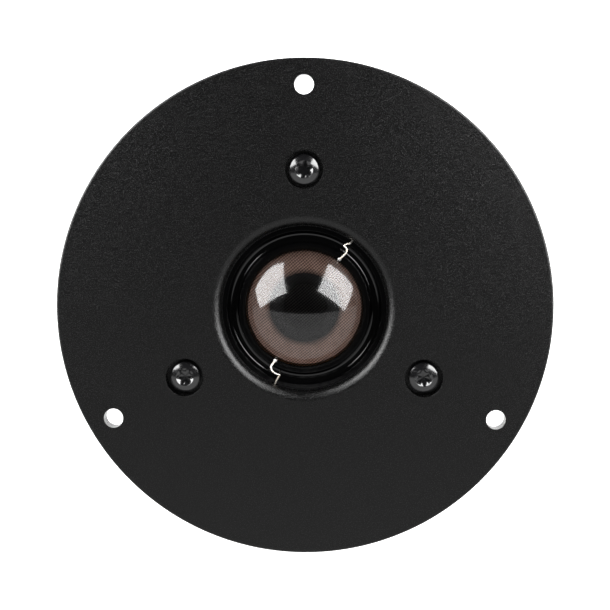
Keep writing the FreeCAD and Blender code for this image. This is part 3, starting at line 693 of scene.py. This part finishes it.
def bend_by_radius(piece, inner, outer):
    """Bakes a piece's transform and works out a smooth share by its radius, from inner to outer, which is not
    used.
    """
    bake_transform(piece)
    points = np.zeros(len(piece.data.vertices) * 3, np.float32)
    piece.data.vertices.foreach_get("co", points)
    reach = np.hypot(*points.reshape(-1, 3).T[:2]) / MM
    share = np.clip((reach - inner) / (outer - inner), 0, 1)
    share = share * share * (3 - 2 * share)


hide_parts("surround")
bend_by_radius(surround, inner_edge, outer_edge)

# %% [markdown]
# ## Leads
#
# Two leads carry the current over the surround. Each is a bundle of hair-fine tinned strands with a
# twist, so that it can flex millions of times. Geometry Nodes copy the path once for each strand and
# push each copy off the path by an angle that turns along it.

# %% Strand rule
STRANDS = 7


def strand_rule():
    """Twists several round strands about a path."""
    tree = new_rule("twisted strands", {"Strands": "Int", "Offset": "Float", "Strand Radius": "Float",
                                        "Turns": "Float", "Finish": "Material"})
    source = node(tree, "NodeGroupInput")
    path = node(tree, "GeometryNodeMeshToCurve", {}, {"Mesh": source.outputs["Geometry"]})
    bundle = node(tree, "GeometryNodeDuplicateElements", {"domain": "SPLINE"},
                  {"Geometry": path.outputs[0], "Amount": source.outputs["Strands"]})
    share = node(tree, "GeometryNodeSplineParameter")
    tangent = node(tree, "GeometryNodeInputTangent")
    normal = node(tree, "GeometryNodeInputNormal")
    part = node(tree, "ShaderNodeMath", {"operation": "DIVIDE"},
                {0: bundle.outputs["Duplicate Index"], 1: source.outputs["Strands"]})
    twist = node(tree, "ShaderNodeMath", {"operation": "MULTIPLY_ADD"},
                 {0: share.outputs["Factor"], 1: source.outputs["Turns"], 2: part.outputs[0]})
    angle = node(tree, "ShaderNodeMath", {"operation": "MULTIPLY"}, {0: twist.outputs[0], 1: math.tau})
    turned = node(tree, "ShaderNodeVectorRotate", {"rotation_type": "AXIS_ANGLE"},
                  {"Vector": normal.outputs[0], "Axis": tangent.outputs[0], "Angle": angle.outputs[0]})
    push = node(tree, "ShaderNodeVectorMath", {"operation": "SCALE"},
                {0: turned.outputs[0], "Scale": source.outputs["Offset"]})
    moved = node(tree, "GeometryNodeSetPosition", {},
                 {"Geometry": bundle.outputs[0], "Offset": push.outputs[0]})
    ring = node(tree, "GeometryNodeCurvePrimitiveCircle", {"mode": "RADIUS"},
                {"Resolution": 8, "Radius": source.outputs["Strand Radius"]})
    tubes = node(tree, "GeometryNodeCurveToMesh", {},
                 {"Curve": moved.outputs[0], "Profile Curve": ring.outputs[0], "Fill Caps": True})
    end_rule(tree, tubes.outputs[0])
    return tree


def smooth_path(corners, steps=14):
    """A smooth path through corners, by Catmull and Rom's rule."""
    p = [np.array(c, float) for c in corners]
    p = [2 * p[0] - p[1], *p, 2 * p[-1] - p[-2]]
    path = []
    for a, b, c, d in zip(p, p[1:], p[2:], p[3:]):
        for t in np.arange(steps) / steps:
            path.append(0.5 * (2 * b + (c - a) * t + (2 * a - 5 * b + 4 * c - d) * t ** 2
                               + (3 * b - a - 3 * c + d) * t ** 3))
    return [tuple(v) for v in path] + [tuple(p[-2])]


STRAND_RULE = strand_rule()
print("strands follow a path")

# %% Leads in place
tinned = Finish("tinned copper strand", base_color=(0.78, 0.76, 0.70), roughness=0.28, metallic=1.0)
tarnish = tinned.noise(0.5, 2)
tinned.set("Base Color", tinned.mix(tarnish.ramp(0.35, 0.75), (0.86, 0.84, 0.80), (0.62, 0.52, 0.40)))
tinned.set("Roughness", tarnish.ramp(0.3, 0.7, 0.22, 0.42))

POSITIVE_LEAD = [
    (7.86, 10.96, 1.82), (8.20, 11.30, 2.02), (8.50, 11.56, 2.24), (9.28, 12.35, 2.50), (9.38, 13.25, 2.48),
    (8.86, 13.92, 2.30), (9.42, 14.32, 1.96), (10.22, 14.46, 1.66), (10.89, 15.21, 1.15), (11.3, 15.8, 1.1)]
NEGATIVE_LEAD = [
    (-6.52, -11.82, 1.82), (-6.80, -12.18, 2.02), (-7.00, -12.40, 2.16), (-7.42, -13.10, 2.46),
    (-7.16, -13.95, 2.58), (-6.42, -14.55, 2.56), (-5.60, -14.92, 2.42), (-5.92, -15.66, 2.10),
    (-6.30, -16.40, 1.68), (-6.76, -17.43, 1.15), (-7.0, -18.1, 1.1)]
STRAND_OFFSET, STRAND_RADIUS, TWIST_LENGTH = 0.128, 0.072, 2.2
BEND_INNER, BEND_OUTER = 13.9, 17.6
for side, corners in (("positive", POSITIVE_LEAD), ("negative", NEGATIVE_LEAD)):
    path = smooth_path(corners)
    length = sum(math.dist(a, b) for a, b in zip(path, path[1:]))
    lead = grow(f"stranded_lead_{side}", STRAND_RULE, points_mesh("path", path, chain=True),
                **{"Strands": STRANDS, "Offset": STRAND_OFFSET * MM, "Strand Radius": STRAND_RADIUS * MM,
                   "Turns": length / TWIST_LENGTH, "Finish": tinned.material})
    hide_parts(f"lead_{side}")
    bend_by_radius(lead, BEND_INNER, BEND_OUTER)
    print(f"{side} lead: {length:.1f} mm of {STRANDS} strands")

# %% [markdown]
# ## Solder beads
#
# Where a lead meets the coil's own wire there is a small bead of solder on the dome's rim. Molten
# solder pulls itself into a lump with a smooth skin and a slight dimple, so a finely divided ball
# is pulled out of round by a fixed rule and flattened where it sits on the cloth.

# %% Solder beads
solder = Finish("solder", base_color=(0.70, 0.69, 0.67), roughness=0.22, metallic=1.0)
frost = solder.noise(0.3, 3)
solder.set("Roughness", frost.ramp(0.3, 0.75, 0.16, 0.42))
solder.bump(frost, 0.01, 0.5)

BEAD_RADIUS, BEAD_CIRCLE, BEAD_HEIGHT = 0.42, 13.42, 1.70


def bead(place, direction):
    """One lump of solder as a loose mesh, drawn out a little along a direction."""
    work = bmesh.new()
    bmesh.ops.create_icosphere(work, subdivisions=4, radius=BEAD_RADIUS)
    pull = Vector(direction).normalized()
    for vertex in work.verts:
        out = vertex.co.normalized()
        lump = 1 + 0.05 * math.sin(5 * out.x + 2) + 0.04 * math.sin(6 * out.y) - 0.05 * max(0, out.z) ** 4
        vertex.co = vertex.co * lump + pull * 0.16 * max(0, out.dot(pull)) ** 3
        vertex.co.z = max(vertex.co.z * 0.92, -0.28)
        vertex.co += Vector(place)
    return work


joined = bmesh.new()
for corners in (POSITIVE_LEAD, NEGATIVE_LEAD):
    first, second = Vector(corners[0]), Vector(corners[2])
    reach = BEAD_CIRCLE / math.hypot(first.x, first.y)
    lump = bead((first.x * reach, first.y * reach, BEAD_HEIGHT), second - first)
    temporary = bpy.data.meshes.new("lump")
    lump.to_mesh(temporary)
    joined.from_mesh(temporary)
    lump.free()
beads = whole("solder_beads", joined)
beads.data.transform(Matrix.Scale(MM, 4))
finish_mesh(beads, 60)
coat(beads, solder)
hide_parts("solder_joints")
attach(beads, "diaphragm")
print(f"solder beads: {len(beads.data.vertices)} vertices")

# %% [markdown]
# ## Voice coil
#
# The winding is two layers of enamelled copper wire, turn beside turn. A rule draws a spiral for
# each layer, and sweeps the wire's section along it. The former under it is thin brown film.

# %% Voice coil
TURNS, WIRE, LAYERS, COIL_LOW, COIL_LENGTH = 18, 0.058, (13.12, 13.40), -3.44, 2.08


def winding_rule():
    """Two layers of a spiral of wire about the Z axis."""
    tree = new_rule("coil winding", {"Turns": "Float", "Layer 1": "Float", "Layer 2": "Float",
                                     "Height": "Float", "Wire Radius": "Float", "Finish": "Material"})
    source = node(tree, "NodeGroupInput")
    ring = node(tree, "GeometryNodeCurvePrimitiveCircle", {"mode": "RADIUS"},
                {"Resolution": 6, "Radius": source.outputs["Wire Radius"]})
    both = node(tree, "GeometryNodeJoinGeometry")
    for layer in ("Layer 1", "Layer 2"):
        reach = source.outputs[layer]
        spiral = node(tree, "GeometryNodeCurveSpiral", {}, {
            "Resolution": 72, "Rotations": source.outputs["Turns"], "Start Radius": reach,
            "End Radius": reach, "Height": source.outputs["Height"]})
        wire = node(tree, "GeometryNodeCurveToMesh", {}, {
            "Curve": spiral.outputs[0], "Profile Curve": ring.outputs[0], "Fill Caps": True})
        tree.links.new(wire.outputs[0], both.inputs[0])
    end_rule(tree, both.outputs[0])
    return tree


enamel = Finish("enamelled copper", base_color=(0.62, 0.22, 0.08), roughness=0.25, metallic=1.0,
                coat_weight=1.0, coat_roughness=0.08)
shade = enamel.noise(1.5, 2)
enamel.set("Base Color", enamel.mix(shade, (0.70, 0.27, 0.10), (0.45, 0.14, 0.05)))
coil = grow("wound_coil", winding_rule(), points_mesh("coil_base", [(0, 0, 0)]),
            **{"Turns": float(TURNS), "Layer 1": LAYERS[0] * MM, "Layer 2": LAYERS[1] * MM,
               "Height": COIL_LENGTH * MM, "Wire Radius": WIRE * MM, "Finish": enamel.material})
shifted(coil, 0, 0, COIL_LOW)
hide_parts("voice_coil_winding")
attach(coil, "diaphragm")

film = Finish("brown film", base_color=(0.16, 0.075, 0.025), roughness=0.28, coat_weight=0.5,
              coat_roughness=0.1)
streak = film.streaks(300.0, (1, 1, 12))
film.set("Base Color", film.mix(streak, (0.20, 0.09, 0.03), (0.11, 0.05, 0.02)))
keep(film, "voice_coil_former")

# %% [markdown]
# ## Motor
#
# The top plate and the back plate are turned from mild steel and zinc plated. The tool leaves fine
# rings, so the relief follows the distance from the axis. The pole piece is phosphated, which is
# dark and keeps its vent dark. The magnet is sintered ferrite: dark grey, ground flat, with grit and
# tiny chips. The cap is spun from copper sheet, and painted shade darkens it towards the vent.

# %% Motor finishes
zinc = Finish("zinc plate", base_color=(0.50, 0.50, 0.48), roughness=0.34, metallic=1.0)
rings = (zinc.radius() * 9.0 + zinc.noise(6, 1) * 2.0).sine()
lines = (zinc.axis("Z") * 16.0 + zinc.noise(8, 1) * 1.5).sine()
cloud = zinc.noise(14, 3, 0.55)
zinc.set("Base Color", zinc.mix(cloud.ramp(0.35, 0.7), (0.60, 0.60, 0.58), (0.50, 0.49, 0.44)))
zinc.set("Roughness", zinc.noise(1.2, 3).ramp(0.3, 0.7, 0.28, 0.42))
zinc.bump(rings * 0.5 + lines * 0.5, 0.004, 0.5)
keep(zinc, "top_plate", "back_plate")

phosphate = Finish("dark phosphate", base_color=(0.012, 0.012, 0.013), roughness=0.6, specular_ior_level=0.3)
crystals = phosphate.noise(0.25, 4, 0.65)
phosphate.set("Base Color", phosphate.mix(crystals, (0.008, 0.008, 0.009), (0.020, 0.020, 0.021)))
phosphate.set("Roughness", crystals.ramp(0.3, 0.7, 0.52, 0.70))
phosphate.bump(crystals, 0.012, 0.5)
keep(phosphate, "pole_piece")

ferrite = Finish("ferrite", base_color=(0.035, 0.035, 0.038), roughness=0.7)
grit = ferrite.noise(0.35, 4, 0.7)
chips = ferrite.cells(2.2).ramp(0.0, 0.16, 1.0, 0.0)
smear = ferrite.streaks(160.0, (1, 1, 0.25), 3.0)
ferrite.set("Base Color", ferrite.mix(grit * 0.6 + smear * 0.4, (0.022, 0.022, 0.025), (0.065, 0.064, 0.066)))
ferrite.set("Roughness", grit.ramp(0.3, 0.7, 0.55, 0.8))
ferrite.bump(grit * 0.6 - chips * 0.8, 0.03, 0.7)
keep(ferrite, "magnet")

copper = Finish("spun copper", base_color=(0.955, 0.638, 0.538), roughness=0.6, metallic=0.8)
patina = copper.noise(3.2, 3, 0.6)
# Painted shade: the copper is painted darker towards the vent's mouth, where shade falls.
vent_painted_shade = copper.radius().ramp(7.4, 9.2)
spun = (copper.radius() * 22.0).sine()
bright = copper.mix(patina.ramp(0.35, 0.75), (0.94, 0.63, 0.52), (0.76, 0.49, 0.39))
copper.set("Base Color", copper.mix(vent_painted_shade, (0.12, 0.08, 0.07), bright))
copper.set("Roughness", patina.ramp(0.3, 0.7, 0.52, 0.66))
copper.bump(spun, 0.003, 0.5)
keep(copper, "copper_cap")
print("steel, ferrite and copper on the motor")

# %% [markdown]
# ## Carrier, terminals and wiring
#
# The coil carrier is moulded in black glass-filled nylon, with a fine spark-eroded texture. The
# terminals are stamped from brass and tinned. A red fibre washer marks the positive side, as on
# most loudspeakers. The link wires are plain insulated wire.

# %% Carrier and terminals
nylon = Finish("glass-filled nylon", base_color=(0.003, 0.003, 0.0032), roughness=0.55,
               specular_ior_level=0.15)
fibres = nylon.noise(0.3, 3, 0.6)
flow = nylon.streaks(220.0, (1, 3, 1), 3.0)
nylon.set("Roughness", flow.ramp(0.3, 0.7, 0.40, 0.58))
nylon.set("Base Color", nylon.mix(flow, (0.003, 0.003, 0.0035), (0.007, 0.007, 0.0075)))
nylon.bump(fibres, 0.02, 0.5)
keep(nylon, "coil_carrier")

tin = Finish("tinned brass", base_color=(0.66, 0.65, 0.62), roughness=0.32, metallic=1.0)
dull = tin.noise(1.8, 3, 0.55)
tin.set("Base Color", tin.mix(dull.ramp(0.35, 0.7), (0.70, 0.69, 0.66), (0.58, 0.54, 0.44)))
tin.set("Roughness", dull.ramp(0.3, 0.7, 0.24, 0.42))
tin.bump(tin.streaks(900.0, (1, 1, 12)), 0.006, 0.4)
keep(tin, "terminal_positive", "terminal_negative")

fibre = Finish("red fibre", base_color=(0.42, 0.03, 0.02), roughness=0.75)
fluff = fibre.noise(0.4, 4, 0.7)
fibre.set("Base Color", fibre.mix(fluff, (0.34, 0.025, 0.018), (0.55, 0.06, 0.04)))
fibre.bump(fluff, 0.02, 0.6)
keep(fibre, "polarity_washer")


def insulation(name, dark, light):
    """The soft plastic skin of a wire."""
    skin = Finish(name, roughness=0.38)
    drawn = skin.noise(1.0, 2)
    skin.set("Base Color", skin.mix(drawn, dark, light))
    skin.set("Roughness", drawn.ramp(0.3, 0.7, 0.32, 0.46))
    return skin


keep(insulation("red insulation", (0.36, 0.015, 0.01), (0.48, 0.03, 0.02)), "link_wire_positive")
keep(insulation("black insulation", (0.008, 0.008, 0.008), (0.016, 0.016, 0.016)), "link_wire_negative")
print("nylon, tin, fibre and insulation on the carrier and the wiring")

# %% Rivets
RIVET_Y, TERMINAL_X = -38.5, 5.5


def rivet(low):
    """The outline of a rivet: a domed head below its seat at low, a shank and a rolled edge above."""
    head = [(0, low - 0.5), (0.6, low - 0.5), (1.1, low - 0.44), (1.45, low - 0.3),
            (1.66, low - 0.12), (1.7, low)]
    flare = [(1.68, 1.6), (1.7, 1.75), (1.55, 1.95), (1.25, 2.06), (0.95, 2.0), (0.75, 1.8),
             (0.6, 1.3), (0, 1.2)]
    return head + [(1.0, low), (1.0, 1.6)] + flare


plated = Finish("plated rivet", base_color=(0.70, 0.64, 0.50), roughness=0.30, metallic=1.0)
handled = plated.noise(0.8, 3)
plated.set("Base Color", plated.mix(handled, (0.74, 0.70, 0.60), (0.60, 0.50, 0.32)))
plated.set("Roughness", handled.ramp(0.3, 0.7, 0.24, 0.45))
pair = bmesh.new()
for seat, side in ((-1.2, 1), (-0.8, -1)):
    one = shifted(turn("rivet", rivet(seat), 48, 50), side * TERMINAL_X, RIVET_Y)
    pair.from_mesh(one.data)
    bpy.data.objects.remove(one)
rivets = whole("terminal_rivet_pair", pair)
coat(rivets, plated)
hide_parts("terminal_rivets")
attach(rivets, "chassis")
print("rivets turned")

# %% [markdown]
# ## Foam, felt and wool
#
# The soft pieces are foam gaskets, a felt plug in the vent and a pad of wool in the chamber. Foam
# has rounded, slightly wavy edges and open cells. Felt is a tangle of short hairs. The wool pad is
# crowned and lumpy, because it is a loose disc pushed into the chamber.


# %% Soft shapes
def soften(piece, amount, lump_size, keep_flat=None):
    """Pushes the points of a soft piece in and out along their normals by smooth noise, in mm."""
    mesh = piece.data
    normals = [v.normal.copy() for v in mesh.vertices]
    for vertex, normal in zip(mesh.vertices, normals):
        at = vertex.co / (lump_size * MM)
        push = noise.noise(at) * 0.7 + noise.noise(at * 2.3) * 0.3 - 0.5
        if keep_flat and abs(normal.z) > 0.9:
            push *= keep_flat
        vertex.co += normal * push * amount * MM
    mesh.update()


def finely(outline, step):
    """Adds points along the sides of a closed outline, so that no side is longer than step."""
    points = []
    for a, b in zip(outline, outline[1:] + outline[:1]):
        a, b = np.array(a), np.array(b)
        if a[0] == 0 and b[0] == 0:
            points.append(tuple(a))
            continue
        count = max(1, round(float(np.linalg.norm(b - a)) / step))
        points += [tuple(a + (b - a) * i / count) for i in range(count)]
    return points


foam = Finish("closed-cell foam", base_color=(0.018, 0.018, 0.019), roughness=0.9)
pores = foam.cells(0.55)
lumps = foam.noise(1.5, 3)
foam.set("Base Color", foam.mix(pores.ramp(0.1, 0.7), (0.008, 0.008, 0.008), (0.030, 0.030, 0.031)))
foam.set("Roughness", lumps.ramp(0.3, 0.7, 0.82, 0.96))
foam.bump(pores * 0.7 + lumps * 0.3, 0.08, 0.7)


def gasket(name, node_name, inner, outer, low, high, holes):
    """A foam ring with rounded edges and screw holes. holes is (circle, radius)."""
    outline = finely(ease([(inner, low), (outer, low), (outer, high), (inner, high)], 0.18, 3), 0.9)
    ring = turn(name, outline, 240)
    soften(ring, 0.05, 2.2, 0.2)
    circle, radius = holes
    cut(ring, [drill(f"{name}_hole_{i}", [(radius, low - 1), (radius, high + 1)], x, y, 40)
               for i, (x, y) in enumerate(placed_on_circle(circle, SCREW_ANGLE, SCREW_COUNT))])
    finish_mesh(ring, 50)
    coat(ring, foam)
    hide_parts(node_name)
    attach(ring, "chassis")
    return ring


gasket("flange_foam", "faceplate_gasket", 43.0, 53.6, -1.0, 0.0, (MOUNT_CIRCLE, 2.6))
gasket("chamber_foam", "chamber_gasket", 28.0, 35.4, -24.8, -24.0, (CHAMBER_SCREW_CIRCLE, 1.75))

felt = Finish("grey felt", base_color=(0.22, 0.215, 0.20), roughness=0.95)
hair = felt.noise(0.5, 6, 0.75)
felt.set("Base Color", felt.mix(hair, (0.10, 0.10, 0.095), (0.34, 0.33, 0.31)))
felt.set("Roughness", hair.ramp(0.3, 0.7, 0.88, 1.0))
felt.bump(hair, 0.12, 0.9)
plug = turn("felt_plug", finely(ease([(0, -22), (4.95, -22), (4.95, -14), (0, -14)], 0.6, 4), 0.4), 96, 60)
soften(plug, 0.16, 1.1)
coat(plug, felt)
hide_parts("vent_felt")
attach(plug, "chassis")

wool = Finish("damping wool", base_color=(0.72, 0.71, 0.67), roughness=0.95)
curl = wool.noise(1.2, 6, 0.75)
wool.set("Base Color", wool.mix(curl, (0.50, 0.49, 0.45), (0.84, 0.83, 0.79)))
wool.set("Roughness", curl.ramp(0.3, 0.7, 0.9, 1.0))
wool.bump(curl, 0.5, 0.9)
pad_outline = [(0, -41.7), (22, -41.7), (24.6, -41.1), (26.1, -39.4), (26.3, -35.3), (25.9, -32.0),
               (23.6, -29.9), (17, -29.2), (8, -28.9), (0, -28.9)]
pad = turn("wool_pad", finely(pad_outline, 0.9), 160, 80)
soften(pad, 0.9, 5.0)
coat(pad, wool)
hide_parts("chamber_wadding")
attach(pad, "chassis")
print("a felt plug in the vent, a wool pad in the chamber")

# %% [markdown]
# ## Rear chamber
#
# The chamber is moulded in black plastic with a finely textured skin. It gives the dome more air to
# push against, which lowers its resonance.

# %% Rear chamber
moulded = Finish("moulded chamber", base_color=(0.012, 0.012, 0.013), roughness=0.48)
texture = moulded.noise(0.30, 3, 0.6)
sheen = moulded.noise(9, 2)
moulded.set("Base Color", moulded.mix(sheen, (0.010, 0.010, 0.011), (0.018, 0.018, 0.019)))
moulded.set("Roughness", (texture * 0.5 + sheen * 0.5).ramp(0.3, 0.7, 0.42, 0.58))
moulded.bump(texture, 0.025, 0.6)
keep(moulded, "rear_chamber")
print("textured skin on the chamber")

# %% [markdown]
# ## Light and camera
#
# A glossy dome is a map of the studio: what shines in it is the light itself. Two softboxes stand
# above the left and the right of the tweeter, and a grey card on the near side fills the lower half
# of the dome. The rest of the room is dark, so that the black plate stays black.


# %% Studio
def glow(name, corners, strength, tint=(1, 1, 1)):
    """A flat light with four corners, in millimetres, hidden from the camera."""
    mesh = bpy.data.meshes.new(name)
    mesh.from_pydata([Vector(c) * MM for c in corners], [], [(0, 1, 2, 3)])
    card = place(name, mesh)
    material = bpy.data.materials.new(name)
    material.use_nodes = True
    material.node_tree.nodes.clear()
    light = material.node_tree.nodes.new("ShaderNodeEmission")
    light.inputs["Color"].default_value = (*tint, 1)
    light.inputs["Strength"].default_value = strength
    output = material.node_tree.nodes.new("ShaderNodeOutputMaterial")
    material.node_tree.links.new(light.outputs[0], output.inputs["Surface"])
    mesh.materials.append(material)
    card.visible_camera = False
    return card


def scaled(corners, reach):
    return [tuple(reach * c for c in corner) for corner in corners]


LEFT_BOX = [(-0.444, 0.339, 0.817), (-1.178, -0.095, 0.443), (-1.287, 0.662, -0.066), (-0.573, 1.135, 0.269)]
RIGHT_BOX = [(0.323, 0.392, 0.866), (1.377, -0.191, 0.754), (1.749, 0.616, 0.215), (0.686, 1.215, 0.322)]
glow("left_softbox", scaled(LEFT_BOX, 520), 11.0)
glow("right_softbox", scaled(RIGHT_BOX, 440), 11.0)
CARD_EDGE, CARD_HEIGHT, CARD_REACH = -145, 800, 20000
glow("near_card", [(-CARD_REACH, CARD_EDGE, CARD_HEIGHT), (CARD_REACH, CARD_EDGE, CARD_HEIGHT),
                   (CARD_REACH, -CARD_REACH, CARD_HEIGHT), (-CARD_REACH, -CARD_REACH, CARD_HEIGHT)], 0.80)

FLOOR_HEIGHT, FLOOR_REACH = -44.2, 6000
floor_corners = [(-FLOOR_REACH, -FLOOR_REACH, FLOOR_HEIGHT), (FLOOR_REACH, -FLOOR_REACH, FLOOR_HEIGHT),
                 (FLOOR_REACH, FLOOR_REACH, FLOOR_HEIGHT), (-FLOOR_REACH, FLOOR_REACH, FLOOR_HEIGHT)]
floor_mesh = bpy.data.meshes.new("floor")
floor_mesh.from_pydata([Vector(c) * MM for c in floor_corners], [], [(0, 1, 2, 3)])
floor = place("floor", floor_mesh)
paper = Finish("white paper sweep", base_color=(0.8, 0.8, 0.8), roughness=0.9, emission_color=(1, 1, 1),
               emission_strength=0.93)
floor_mesh.materials.append(paper.material)

world = bpy.data.worlds.new("studio")
scene.world = world
world.use_nodes = True
nodes, links = world.node_tree.nodes, world.node_tree.links
nodes.clear()
seen = nodes.new("ShaderNodeLightPath")
white = nodes.new("ShaderNodeBackground")
white.inputs["Strength"].default_value = 1.0
dark = nodes.new("ShaderNodeBackground")
dark.inputs["Color"].default_value = (0.02, 0.02, 0.02, 1)
either = nodes.new("ShaderNodeMixShader")
room = nodes.new("ShaderNodeOutputWorld")
links.new(seen.outputs["Is Camera Ray"], either.inputs[0])
links.new(dark.outputs[0], either.inputs[1])
links.new(white.outputs[0], either.inputs[2])
links.new(either.outputs[0], room.inputs["Surface"])
scene.view_settings.view_transform = "Standard"

# %% Camera
DISTANCE, TOWARDS_TOP, TOWARDS_RIGHT, LENS = 300.0, 5.2, 1.5, 80.2
aim = Vector((0.22, 0.91, PLATE_TOP)) * MM
away = Vector((math.sin(math.radians(TOWARDS_RIGHT)), math.sin(math.radians(TOWARDS_TOP)), 1))
away.z = math.sqrt(1 - away.x ** 2 - away.y ** 2)
camera = bpy.data.objects.new("camera", bpy.data.cameras.new("camera"))
camera.data.lens = LENS
camera.data.sensor_width = 36.0
camera.data.clip_start = 0.01
camera.location = aim + away * DISTANCE * MM
right = Vector((0, 1, 0)).cross(away).normalized()
upright = Matrix((right, away.cross(right), away)).transposed()
camera.rotation_mode = "QUATERNION"
camera.rotation_quaternion = upright.to_quaternion()
scene.collection.objects.link(camera)
scene.camera = camera
print("camera and studio are set")
